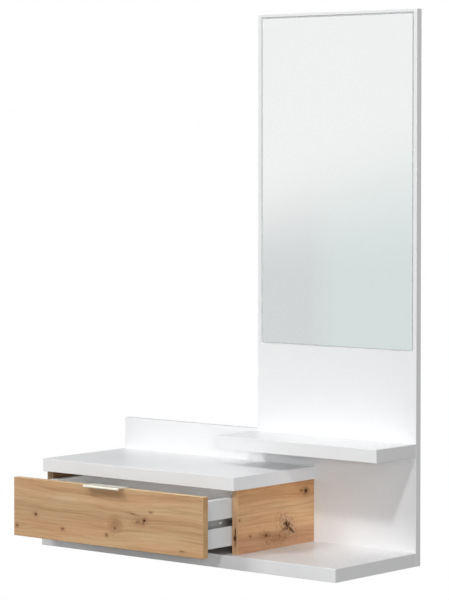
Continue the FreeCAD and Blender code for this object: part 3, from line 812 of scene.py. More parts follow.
SIDE_OAK = OakDecor(
    "oak_cabinet_side", Axis.Y, Axis.Z,
    light=(0.794, 0.516, 0.288), middle=(0.707, 0.444, 0.234), dark=(0.556, 0.322, 0.16),
    knots=(Knot(-0.0448, 0.0098, 0.0065, 0.0052, 1.0, 0.7), Knot(-0.0588, 0.0115, 0.006, 0.003, 0.4, 0.5),
           Knot(-0.108, -0.058, 0.013, 0.0082, 1.0, 0.6, 0.7, 0.3, ragged=3.4, tilt=-38.0),
           Knot(-0.094, -0.069, 0.010, 0.0042, 0.8, 0.4, ragged=3.0, tilt=-30.0),
           Knot(-0.118, -0.064, 0.008, 0.003, 0.6, 0.4, ragged=3.0, tilt=25.0),
           Knot(-0.179, -0.0715, 0.008, 0.0036, 0.7, 0.5, 0.9, ragged=2.4),
           Knot(-0.150, -0.0805, 0.0125, 0.0042, 0.0, 0.3, 1.0, push=0.9, ragged=3.2, tilt=14.0),
           Knot(-0.118, -0.083, 0.0100, 0.0034, 0.0, 0.2, 0.9, push=0.9, ragged=3.2, tilt=24.0),
           Knot(-0.232, -0.0676, 0.0042, 0.0024, 0.55), Knot(-0.267, -0.0308, 0.003, 0.0022, 0.5)),
    staves=((-0.102, (0.77, 0.685, 0.725)), (-0.074, (0.77, 0.695, 0.73)), (-0.058, (0.95, 0.935, 0.935)),
            (-0.010, (1.0, 1.0, 1.0)), (0.004, (0.905, 0.82, 0.755)), (0.032, (0.81, 0.675, 0.575))))
LEFT_OAK = replace(SIDE_OAK, name="oak_cabinet_left_side", knots=(
    Knot(-0.205, -0.035, 0.009, 0.006, 1.0, 0.6, 0.5, 0.2, ragged=3.0, tilt=20.0),
    Knot(-0.192, -0.041, 0.006, 0.003, 0.6), Knot(-0.082, -0.012, 0.005, 0.0042, 0.9),
    Knot(-0.136, -0.081, 0.0045, 0.0025, 0.6), Knot(-0.240, 0.013, 0.006, 0.002, 0.5),
    Knot(-0.112, 0.018, 0.009, 0.0034, 0.3, 0.3, 0.6, ragged=2.6)))
# Inner faces of the cabinet's sides: oak darkened well below the outer faces, as painted shade inside the
# cabinet.
INNER_OAK_PAINTED_SHADE = OakDecor("oak_cabinet_inside_painted_shade", Axis.Y, Axis.Z, light=(0.25, 0.15, 0.078),
                     middle=(0.215, 0.127, 0.065), dark=(0.165, 0.093, 0.046))
OAK_UPRIGHT = OakDecor("oak_upright_band", Axis.Z, Axis.X, light=(0.684, 0.458, 0.238),
                       middle=(0.62, 0.395, 0.194), dark=(0.488, 0.292, 0.138))
OAK_LEVEL_BAND = OakDecor("oak_level_band", Axis.X, Axis.Y, light=(0.806, 0.615, 0.38),
                          middle=(0.742, 0.546, 0.318), dark=(0.615, 0.424, 0.233), worn=(0.78, 0.61, 0.40))
# The left side's front edge: oak darkened as painted shade, for the shadow under the cabinet's top and the
# open drawer front.
OAK_PAINTED_SHADE_BAND = OakDecor("oak_left_front_band_painted_shade", Axis.Z, Axis.X, light=(0.36, 0.26, 0.165),
                          middle=(0.31, 0.22, 0.135), dark=(0.23, 0.155, 0.09), worn=(0.40, 0.29, 0.19))
OAK_SIDE_BAND = OakDecor(
    "oak_side_front_band", Axis.Z, Axis.X,
    light=(0.64, 0.426, 0.252), middle=(0.56, 0.353, 0.197), dark=(0.43, 0.246, 0.126),
    knots=(Knot(-0.068, 0.1301, 0.0085, 0.0038, 1.0, 0.5), Knot(-0.055, 0.1308, 0.012, 0.0016, 1.0, 0.4),
           Knot(-0.080, 0.1306, 0.0095, 0.0014, 1.0, 0.4)))


@dataclass(frozen=True)
class Cladding:
    """The finishes of a board by the axis that a face looks along, and of its bare inside."""

    x: Finish
    y: Finish
    z: Finish
    core: Finish = CORE

    def finishes(self) -> list[Finish]:
        """The finishes in the order of the axes, the inside last."""
        return [self.x, self.y, self.z, self.core]


CORE_INDEX = 3
# The extra finish is painted shade on the cabinet's inner faces and painted light on the drawer's.
EXTRA_FINISH_INDEX = 4  # a pocket or an inner face has a finish of its own, after those of the cladding
WHITE_UPRIGHT = Cladding(WHITE_BAND, WHITE_FACE, WHITE_BAND)
WHITE_LEVEL = Cladding(WHITE_BAND, WHITE_BAND, WHITE_FACE)
OAK_FRONT = Cladding(OAK_UPRIGHT, FRONT_OAK, OAK_LEVEL_BAND)
# The left side's front edges carry painted shade; the right side's do not.
OAK_SIDES = {Side.LEFT: Cladding(LEFT_OAK, OAK_PAINTED_SHADE_BAND, LEFT_OAK),
             Side.RIGHT: Cladding(SIDE_OAK, OAK_SIDE_BAND, SIDE_OAK)}
DRAWER_WALL = Cladding(FOIL, FOIL, FOIL, FOIL)
# The drawer's back board is all in the pale foil, which is painted light.
DRAWER_BACK = Cladding(PALE_FOIL_PAINTED_LIGHT, PALE_FOIL_PAINTED_LIGHT, PALE_FOIL_PAINTED_LIGHT)


class Blank:
    """A piece under work: a bmesh that its own operators shape."""

    EASED: ClassVar[str] = "eased"
    TAPER: ClassVar[Point] = (0.45, 0.45, 1.0)
    ROUND_STEPS: ClassVar[int] = 4

    def __init__(self, finishes: Sequence[Finish] = ()) -> None:
        """Start an empty piece with its finishes."""
        self.bm = bmesh.new()
        self.finishes = list(finishes)

    def block(self, low: Vector, high: Vector) -> None:
        """A block between two corners.

        Args:
            low: its lowest corner.
            high: its highest corner.
        """
        verts = bmesh.ops.create_cube(self.bm, size=1.0)["verts"]
        bmesh.ops.scale(self.bm, vec=high - low, verts=verts)
        bmesh.ops.translate(self.bm, vec=(low + high) / 2, verts=verts)

    def rod(self, start: Vector, along: Vector, length: float, radius: float, tip: float | None = None,
            segments: int = 28) -> None:
        """A round bar or a cone that starts at a place and runs along a direction.

        Args:
            start: the middle of its first end.
            along: the direction it runs in.
            length: its length.
            radius: the radius of its first end.
            tip: the radius of its far end, where that differs.
            segments: the faces round it.
        """
        matrix = Matrix.Translation(start + along * length / 2) @ turn_to(along)
        bmesh.ops.create_cone(self.bm, cap_ends=True, segments=segments, radius1=radius,
                              radius2=radius if tip is None else tip, depth=length, matrix=matrix)

    def ease(self, edges: Iterable[bmesh.types.BMEdge], radius: float, segments: int = 3) -> None:
        """Round edges over and mark the faces that come of it.

        Args:
            edges: the edges to round.
            radius: the radius of the rounding.
            segments: the faces across it.
        """
        layers = self.bm.faces.layers.float
        layer = layers.get(self.EASED) or layers.new(self.EASED)
        made = bmesh.ops.bevel(self.bm, geom=list(edges), offset=radius, offset_type="OFFSET",
                               segments=segments, profile=0.5, affect="EDGES", material=-1,
                               clamp_overlap=True)
        for face in made["faces"]:
            face[layer] = 1.0

    def clad(self) -> None:
        """Give each face the finish of the axis that it mostly looks along."""
        self.bm.normal_update()
        for face in self.bm.faces:
            parts = [abs(part) for part in face.normal]
            face.material_index = parts.index(max(parts))

    def paint_light_and_shade_inside(self, side: Side) -> None:
        """Give the extra finish to the faces that look at the cabinet's middle: painted shade on the
        cabinet's sides, painted light on the drawer's.

        Args:
            side: which side of the cabinet the board stands on.
        """
        for face in self.bm.faces:
            if face.normal.x * side.value < -FLAT:
                face.material_index = EXTRA_FINISH_INDEX

    def band_lines(self, thin: Axis, inset: float, groove: float) -> None:
        """Draw the fine joint between the edge band and the board's two broad faces.

        Args:
            thin: the axis across the board.
            inset: how far inside the eased edge the joint runs.
            groove: the width and depth of each flank of the joint.
        """
        self.bm.normal_update()
        broad = [face for face in self.bm.faces if abs(face.normal[thin.value]) > FLAT]
        for thickness, depth in ((inset, 0.0), (groove, -groove), (groove, groove)):
            bmesh.ops.inset_region(self.bm, faces=broad, thickness=thickness, depth=depth,
                                   use_even_offset=True)

    def bar(self, outline: Sequence[Point], rounds: dict[int, float], run: Vector) -> None:
        """A bar of one section.

        Args:
            outline: the corners of the section, in order.
            rounds: the radius of each rounded corner, by its number.
            run: how far and which way the section runs.
        """
        verts = [self.bm.verts.new(corner) for corner in outline]
        self.bm.faces.new(verts)
        for radius in sorted(set(rounds.values())):
            corners = [verts[number] for number, size in rounds.items() if size == radius]
            bmesh.ops.bevel(self.bm, geom=corners, offset=radius, offset_type="OFFSET",
                            segments=self.ROUND_STEPS, profile=0.5, affect="VERTICES", material=-1,
                            clamp_overlap=True)
        section = next(iter(self.bm.faces))
        far = bmesh.ops.extrude_face_region(self.bm, geom=[section], use_keep_orig=True)["geom"]
        moved = [part for part in far if isinstance(part, bmesh.types.BMVert)]
        bmesh.ops.translate(self.bm, vec=run, verts=moved)

    def turn(self, profile: Sequence[Span], steps: int) -> None:
        """A turned shape about Z.

        Args:
            profile: points of radius and height that start and end on the axis.
            steps: the faces round it.
        """
        verts = [self.bm.verts.new((radius, 0.0, height)) for radius, height in profile]
        edges = [self.bm.edges.new(pair) for pair in zip(verts, verts[1:])]
        bmesh.ops.spin(self.bm, geom=verts + edges, cent=(0, 0, 0), axis=(0, 0, 1), dvec=(0, 0, 0),
                       angle=FULL_TURN, steps=steps, use_merge=True, use_normal_flip=False,
                       use_duplicate=False)

    def cross(self, arm: float, width: float, depth: float) -> None:
        """A cross that tapers down from Z 0, to cut a screw's recess.

        Args:
            arm: the length of each arm.
            width: the width of an arm.
            depth: how far it goes in.
        """
        half = width / 2
        corners = [(arm, -half), (arm, half), (half, half), (half, arm), (-half, arm), (-half, half),
                   (-arm, half), (-arm, -half), (-half, -half), (-half, -arm), (half, -arm), (half, -half)]
        self.bar([(x, y, -PROUD) for x, y in corners], {}, Vector((0, 0, depth + PROUD)))
        foot = [vert for vert in self.bm.verts if vert.co.z > depth / 2]
        bmesh.ops.scale(self.bm, vec=self.TAPER, verts=foot)

    def stamp(self, master: "Blank", places: Iterable[Matrix]) -> None:
        """Set a copy of another shape at each place, and use that shape up.

        Args:
            master: the shape to copy.
            places: where the copies stand.
        """
        shape = master.mesh("master")
        for place in places:
            count = len(self.bm.verts)
            self.bm.from_mesh(shape)
            self.bm.verts.ensure_lookup_table()
            bmesh.ops.transform(self.bm, matrix=place, verts=self.bm.verts[count:])
        bpy.data.meshes.remove(shape)
        master.bm.free()

    def close(self) -> None:
        """Merge doubled points and turn every face outwards."""
        bmesh.ops.remove_doubles(self.bm, verts=self.bm.verts, dist=MERGE)
        bmesh.ops.recalc_face_normals(self.bm, faces=self.bm.faces)

    def mesh(self, name: str) -> bpy.types.Mesh:
        """The shape as a mesh with its finishes.

        Args:
            name: the mesh's name.

        Returns:
            The mesh.
        """
        made = bpy.data.meshes.new(name)
        self.bm.to_mesh(made)
        for finish in self.finishes:
            made.materials.append(finish.material())
        return made

    def carve(self, cutter: "Blank", index: int = 0) -> None:
        """Take the room of another shape out of this one.

        Args:
            cutter: the shape to take away.
            index: the number of the finish that the cut faces get.
        """
        cutter.finishes = self.finishes
        for face in cutter.bm.faces:
            face.material_index = index
        bench = [bpy.data.objects.new("bench", shape.mesh("bench")) for shape in (self, cutter)]
        for thing in bench:
            bpy.context.scene.collection.objects.link(thing)
        cut = bench[0].modifiers.new("cut", "BOOLEAN")
        cut.operation = "DIFFERENCE"
        cut.solver = "EXACT"
        cut.object = bench[1]
        graph = bpy.context.evaluated_depsgraph_get()
        result = bpy.data.meshes.new_from_object(bench[0].evaluated_get(graph))
        self.bm.clear()
        self.bm.from_mesh(result)
        shapes = [thing.data for thing in bench]
        for thing in bench:
            bpy.data.objects.remove(thing)
        for shape in (*shapes, result):
            bpy.data.meshes.remove(shape)
        cutter.bm.free()

    def hang(self, name: str, body: Body, slot: str, *nodes: str) -> None:
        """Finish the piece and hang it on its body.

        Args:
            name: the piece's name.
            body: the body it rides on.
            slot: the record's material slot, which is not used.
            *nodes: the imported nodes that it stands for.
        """
        self.close()
        mesh = self.mesh(name)
        self.bm.free()
        for polygon in mesh.polygons:
            polygon.use_smooth = True
        mesh.set_sharp_from_angle(angle=SHARP_EDGE)
        piece = bpy.data.objects.new(name, mesh)
        bpy.context.scene.collection.objects.link(piece)
        piece.modifiers.new("even_shading", "WEIGHTED_NORMAL").keep_sharp = True
        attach(piece, body.value)
        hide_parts(*nodes)
        log.info("%s stands for %s on %s", name, ", ".join(nodes), body.value)


def solids_of(node: str) -> list[Box]:
    """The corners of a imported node's separate solids.

    Args:
        node: the node's name.

    Returns:
        The lowest and highest corner of each solid, in a fixed order.
    """
    shape = bmesh.new()
    shape.from_mesh(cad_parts[node].data)
    bmesh.ops.remove_doubles(shape, verts=shape.verts, dist=MERGE)
    waiting, found = set(shape.verts), []
    while waiting:
        reached, front = set(), [waiting.pop()]
        while front:
            vert = front.pop()
            reached.add(vert)
            fresh = [edge.other_vert(vert) for edge in vert.link_edges]
            fresh = [other for other in fresh if other in waiting]
            waiting.difference_update(fresh)
            front.extend(fresh)
        found.append(tuple(Vector([end(vert.co[axis.value] for vert in reached) for axis in Axis])
                           for end in (min, max)))
    shape.free()
    return sorted(found, key=lambda box: [round(part, SORT_DIGITS) for part in box[0]])


def middle(box: Box) -> Vector:
    """The middle of a box."""
    return (box[0] + box[1]) / 2


def middles_of(node: str) -> list[Vector]:
    """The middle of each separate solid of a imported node."""
    return [middle(box) for box in solids_of(node)]


def turn_to(way: Vector) -> Matrix:
    """The turn that brings +Z to a direction."""
    return UPWARD.rotation_difference(way).to_matrix().to_4x4()


def dress_nodes(finish: Finish, *nodes: str) -> None:
    """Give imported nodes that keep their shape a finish.

    Args:
        finish: the finish.
        *nodes: the nodes' names.
    """
    for node in nodes:
        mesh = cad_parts[node].data
        mesh.materials.clear()
        mesh.materials.append(finish.material())
        log.info("%s keeps its shape in %s", node, finish.name)


def boarded(node: str, cladding: Cladding, thin: Axis, ease: float = 0.0008, band: float = 0.001,
            extra: Sequence[Finish] = (), joint: float = 0.00008) -> Blank:
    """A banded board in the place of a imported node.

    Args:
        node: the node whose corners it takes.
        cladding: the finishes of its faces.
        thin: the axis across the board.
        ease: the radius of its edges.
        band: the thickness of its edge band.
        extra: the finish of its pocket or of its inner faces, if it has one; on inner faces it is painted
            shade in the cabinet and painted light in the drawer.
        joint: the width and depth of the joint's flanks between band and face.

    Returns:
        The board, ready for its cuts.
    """
    board = Blank([*cladding.finishes(), *extra])
    board.block(*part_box(node))
    board.ease(list(board.bm.edges), ease)
    board.clad()
    board.band_lines(thin, band - ease, joint)
    return board


@dataclass(frozen=True)
class ScrewKind:
    """A screw with a cross recess; it points along +Z from its head's flat face."""

    head: float
    shank: float
    sink: float
    length: float
    rim: float = 0.0
    tip: float = 0.003
    arm: float = 0.6
    recess: float = 0.5
    ARRIS: ClassVar[float] = 0.0002
    POINT: ClassVar[float] = 0.3
    ARM_WIDTH: ClassVar[float] = 0.28
    SIDES: ClassVar[int] = 24

    def master(self, finish: Finish) -> Blank:
        """One screw with its head's middle at the origin.

        Args:
            finish: its finish.

        Returns:
            The screw.
        """
        shape = Blank([finish])
        crown = -self.rim
        profile = [(0.0, crown), (self.head - self.ARRIS, crown), (self.head, crown + self.ARRIS)]
        profile += [(self.head, 0.0)] if self.rim else []
        profile += [(self.shank, self.sink), (self.shank, self.length - self.tip),
                    (self.shank * self.POINT, self.length), (0.0, self.length)]
        shape.turn(profile, self.SIDES)
        shape.close()
        recess = Blank()
        recess.cross(self.head * self.arm, self.head * self.ARM_WIDTH, max(self.sink, self.rim) * self.recess)
        bmesh.ops.translate(recess.bm, vec=(0, 0, crown), verts=recess.bm.verts)
        recess.close()
        shape.carve(recess)
        return shape

    def seat(self, rooms: Blank, start: Vector, way: Vector) -> None:
        """Add the room of a sunk head to a cutter, from a start just outside the board."""
        rooms.rod(start, way, self.sink + PROUD, self.head, self.shank, self.SIDES)

    def set_in(self, node: str, name: str, body: Body, heading: Heading, finish: Finish = ZINC) -> None:
        """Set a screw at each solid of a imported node.

        Args:
            node: the node of screws.
            name: the new piece's name.
            body: the body it rides on.
            heading: where the screws point.
            finish: the screws' finish.
        """
        places = []
        for number, box in enumerate(solids_of(node)):
            spot = middle(box)
            way = heading.way(spot)
            reach = abs((box[1] - box[0]).dot(way)) / 2 - self.rim
            spin = Matrix.Rotation(number * GOLDEN_TURN, 4, "Z")
            places.append(Matrix.Translation(spot - way * reach) @ turn_to(way) @ spin)
        screws = Blank([finish])
        screws.stamp(self.master(finish), places)
        screws.hang(name, body, "zinc_steel", node)


@dataclass(frozen=True)
class CamKind(ScrewKind):
    """A cam with a cross recess, and the bore that it turns in."""

    bore: float = 0.0076
    bore_depth: float = 0.0122

    def bores(self, node: str, side: Side, board: str) -> Blank:
        """The bores for the cams of one upright board, cut from its inner face.

        Args:
            node: the node of cams.
            side: which side of the cabinet.
            board: the board's node.

        Returns:
            The bores.
        """
        low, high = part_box(board)
        start = side.faces(board)[0] - side.value * PROUD
        rooms = Blank()
        for spot in middles_of(node):
            if low.x < spot.x < high.x:
                rooms.rod(Vector((start, spot.y, spot.z)), side.outward, self.bore_depth + PROUD, self.bore)
        return rooms


CAM = CamKind(0.0073, 0.0073, 0.0002, 0.0118, tip=0.0003, arm=0.62, recess=9.0)


@dataclass
class BackPanels:
    """The lower back panel, the mirror panel on top of it and the plates let into their wall side."""

    mirror_gap: float = 0.0035
    pocket_depth: float = 0.005
    wall_hole: float = 0.00275
    wall_hole_spacing: float = 0.4
    keyhole_room: Point = (0.013, 0.008, 0.023)
    screw: ScrewKind = ScrewKind(0.0048, 0.0035, 0.003, 0.05)
    plate_screw: ScrewKind = ScrewKind(0.0033, 0.00175, 0.002, 0.01)
    plates: tuple[str, ...] = ("joining_plate", "keyhole_plate")

    def plate_rooms(self) -> Blank:
        """The recesses of the steel plates and the seats of the screws, cut from the wall side.

        Returns:
            The recesses and seats.
        """
        rooms = Blank()
        for plate in self.plates:
            for low, high in solids_of(f"{plate}s"):
                rooms.block(low, high + INTO_WALL * PROUD)
        for spot in middles_of("back_panel_screws"):
            self.screw.seat(rooms, Vector((spot.x, PROUD, spot.z)), INTO_ROOM)
        return rooms

    def build_lower(self) -> None:
        """The lower panel with its wall holes."""
        board = boarded("lower_back_panel", WHITE_UPRIGHT, Axis.Y)
        low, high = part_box("lower_back_panel")
        level = middle(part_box("left_drawer_rail")).z
        holes = Blank()
        for side in Side:
            start = Vector((CABINET_MIDDLE + side.value * self.wall_hole_spacing / 2, PROUD, level))
            holes.rod(start, INTO_ROOM, high.y - low.y + 2 * PROUD, self.wall_hole)
        board.carve(self.plate_rooms(), CORE_INDEX)
        board.carve(holes, CORE_INDEX)
        board.hang("lower_back_board", Body.CARCASS, "white_board", "lower_back_panel")

    def build_upper(self) -> None:
        """The mirror panel with the mirror's pocket and the room behind the keyholes."""
        board = boarded("mirror_panel", WHITE_UPRIGHT, Axis.Y, extra=(PRIMED,))
        low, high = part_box("mirror_glass")
        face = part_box("mirror_panel")[0].y
        gap = Vector((self.mirror_gap, 0.0, self.mirror_gap))
        low, high = low - gap, high + gap
        pocket = Blank()
        pocket.block(Vector((low.x, face - PROUD, low.z)), Vector((high.x, face + self.pocket_depth, high.z)))
        board.carve(pocket, EXTRA_FINISH_INDEX)
        board.carve(self.plate_rooms(), CORE_INDEX)
        rooms = Blank()
        wide, deep, tall = self.keyhole_room
        half = Vector((wide / 2, 0.0, tall / 2))
        for spot in middles_of("keyhole_plates"):
            level = spot.z + (tall - wide) / 2
            rooms.block(Vector((spot.x, -deep, level)) - half, Vector((spot.x, PROUD, level)) + half)
        board.carve(rooms, CORE_INDEX)
        board.hang("mirror_board", Body.CARCASS, "white_board", "mirror_panel")

    def build(self) -> None:
        """Build both panels, their plates and every screw that shows on the wall side."""
        self.build_lower()
        self.build_upper()
        for plate in self.plates:
            dress_nodes(ZINC, f"{plate}s")
            self.plate_screw.set_in(f"{plate}_screws", f"{plate}_cross_screws", Body.CARCASS, Heading.FORWARD)
        self.screw.set_in("back_panel_screws", "back_panel_cross_screws", Body.CARCASS, Heading.FORWARD)


@dataclass
class MirrorPane:
    """The silvered glass with its ground edge, on tape in the panel's pocket."""

    arris: float = 0.0006

    def build(self) -> None:
        """Build the glass and dress its tape."""
        pane = Blank([GLASS_EDGE, SILVER, BACK_PAINT])
        pane.block(*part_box("mirror_glass"))
        pane.ease(list(pane.bm.edges), self.arris, segments=2)
        pane.bm.normal_update()
        for face in pane.bm.faces:
            broad = SILVER if face.normal.y < 0 else BACK_PAINT
            finish = broad if abs(face.normal.y) > FLAT else GLASS_EDGE
            face.material_index = pane.finishes.index(finish)
        pane.hang("mirror_pane", Body.CARCASS, "mirror", "mirror_glass")
        dress_nodes(FOAM, "mirror_tape_strips")


@dataclass
class Shelves:
    """The bottom shelf, the upper shelf and the cabinet's top."""

    ease: float = 0.001
    band: float = 0.0012
    nodes: tuple[str, ...] = ("bottom_shelf", "upper_shelf", "cabinet_top")

    def build(self) -> None:
        """Build the three thick boards and dress what joins them inside."""
        for node in self.nodes:
            board = boarded(node, WHITE_LEVEL, Axis.Z, self.ease, self.band)
            board.hang(f"{node}_board", Body.CARCASS, "white_board", node)
        dress_nodes(BEECH, "shelf_dowels", "panel_joint_dowels")


@dataclass
class CabinetSides:
    """The two oak sides of the cabinet with their cam fittings."""

    cam: CamKind = CAM

    def build(self) -> None:
        """Build the sides and the cams in their bores."""
        for side in Side:
            node = f"{side.word}_side_panel"
            # The inner faces get the darkened oak, which is painted shade.
            board = boarded(node, OAK_SIDES[side], Axis.X, extra=(INNER_OAK_PAINTED_SHADE,))
            board.paint_light_and_shade_inside(side)
            board.carve(self.cam.bores("side_cam_locks", side, node), CORE_INDEX)
            board.hang(f"{side.word}_oak_side", Body.CARCASS, "oak_board", node)
        self.cam.set_in("side_cam_locks", "side_cams", Body.CARCASS, Heading.OUTWARD)
        dress_nodes(ZINC, "side_cam_bolts")


@dataclass
class DrawerBox:
    """The drawer: oak front, grooved sides, back and bottom, with their fittings."""

    cam: CamKind = CAM
    box_screw: ScrewKind = ScrewKind(0.0042, 0.0025, 0.0025, 0.045)
    bottom_screw: ScrewKind = ScrewKind(0.0028, 0.0015, 0.0015, 0.018)
    clearance: float = 0.0002
    side_ease: float = 0.0012
    side_band: float = 0.0014
    dome: tuple[Span, ...] = ((0.0, 1.0), (0.35, 0.98), (0.62, 0.88), (0.84, 0.68), (0.97, 0.36), (1.0, 0.0),
                              (0.0, 0.0))
    dome_steps: int = 24

    def bottom_room(self) -> Blank:
        """The groove that the bottom slides into.

        Returns:
            The groove's room.
        """
        room = Blank()
        play = Vector((self.clearance,) * 3)
        low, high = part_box("drawer_bottom")
        room.block(low - play, high + play)
        return room

    def rail_room(self, side: Side, node: str) -> Blank:
        """The groove that the slide lies in, along a whole drawer side.

        Args:
            side: which side of the drawer.
            node: the side's node.

        Returns:
            The groove's room.
        """
        rail = f"{side.word}_drawer_rail"
        low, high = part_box(node)
        bottom, top = (corner.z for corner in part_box(rail))
        first, last = sorted((side.faces(rail)[0], side.faces(node)[1] + side.value * PROUD))
        room = Blank()
        room.block(Vector((first, low.y - PROUD, bottom - self.clearance)),
                   Vector((last, high.y + PROUD, top + self.clearance)))
        return room

    def build_sides(self) -> None:
        """Sides with the slide's groove, the bottom's groove and bores for cams and screws."""
        for side in Side:
            node = f"drawer_{side.word}_side"
            # The inner faces get the pale foil, which is painted light inside the drawer.
            board = boarded(node, DRAWER_WALL, Axis.X, self.side_ease, self.side_band, (PALE_FOIL_PAINTED_LIGHT,))
            board.paint_light_and_shade_inside(side)
            board.carve(self.rail_room(side, node), CORE_INDEX)
            board.carve(self.bottom_room(), CORE_INDEX)
            bores = self.cam.bores("drawer_cam_locks", side, node)
            start = side.faces(node)[1] + side.value * PROUD
            for spot in middles_of("drawer_back_screws"):
                if side.holds(spot):
                    self.box_screw.seat(bores, Vector((start, spot.y, spot.z)), -side.outward)
            board.carve(bores, CORE_INDEX)
            board.hang(f"drawer_{side.word}_wall", Body.DRAWER, "drawer_board", node)

    def build_bumpers(self) -> None:
        """Clear domed dots on the back of the front, which shuts against the cabinet's sides."""
        spots = solids_of("front_bumpers")
        low, high = spots[0]
        radius, height = (high.x - low.x) / 2, high.y - low.y
        dot = Blank([BUMPER])
        dot.turn([(radius * across, height * up) for across, up in self.dome], self.dome_steps)
        dot.close()
        dots = Blank([BUMPER])
        dots.stamp(dot, [Matrix.Translation((middle(box).x, box[0].y, middle(box).z)) @ turn_to(INTO_WALL)
                         for box in spots])
        dots.hang("bumper_dots", Body.DRAWER, "clear_bumper", "front_bumpers")

    def build(self) -> None:
        """Build the drawer's boards and set its fittings."""
        front = boarded("drawer_front", OAK_FRONT, Axis.Y)
        front.carve(self.bottom_room(), CORE_INDEX)
        front.hang("oak_drawer_front_board", Body.DRAWER, "oak_board", "drawer_front")
        self.build_sides()
        back = boarded("drawer_back", DRAWER_BACK, Axis.Y)
        back.hang("drawer_back_wall", Body.DRAWER, "drawer_board", "drawer_back")
        dress_nodes(HARDBOARD, "drawer_bottom")
        dress_nodes(ZINC, "drawer_cam_bolts")
        self.cam.set_in("drawer_cam_locks", "drawer_cams", Body.DRAWER, Heading.OUTWARD)
        self.box_screw.set_in("drawer_back_screws", "drawer_back_cross_screws", Body.DRAWER, Heading.INWARD)
        self.bottom_screw.set_in("drawer_bottom_screws", "drawer_bottom_cross_screws", Body.DRAWER,
                                 Heading.RISING)
        self.build_bumpers()


@dataclass
class EdgePull:
    """The bent edge pull over the top of the drawer front."""

    sheet: float = 0.002
    outer_bend: float = 0.0024
    inner_bend: float = 0.0006
    lip: float = 0.0045
    edge_ease: float = 0.0003
    screw: ScrewKind = ScrewKind(0.0033, 0.00175, 0.0001, 0.014, rim=0.0018)

    def build(self) -> None:
        """Bend the sheet, ease its cut edges and set its screws."""
        low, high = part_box("handle")
        rear, nose, top, sheet = high.y, low.y, high.z, self.sheet
        section = [(rear, low.z), (rear, top), (nose, top), (nose, top - self.lip),
                   (nose + sheet, top - self.lip), (nose + sheet, top - sheet), (rear - sheet, top - sheet),
                   (rear - sheet, low.z)]
        bends = {1: self.outer_bend, 2: self.outer_bend, 5: self.inner_bend, 6: self.inner_bend}
        pull = Blank([ALUMINIUM])
        pull.bar([(low.x, y, z) for y, z in section], bends, Vector((high.x - low.x, 0, 0)))
        pull.close()
        cut = [edge for edge in pull.bm.edges if edge.calc_face_angle(0.0) > SHARP_EDGE]
        pull.ease(cut, self.edge_ease, segments=2)
        pull.hang("bent_edge_pull", Body.DRAWER, "satin_aluminium", "handle")
        self.screw.set_in("handle_screws", "handle_cross_screws", Body.DRAWER, Heading.FORWARD)


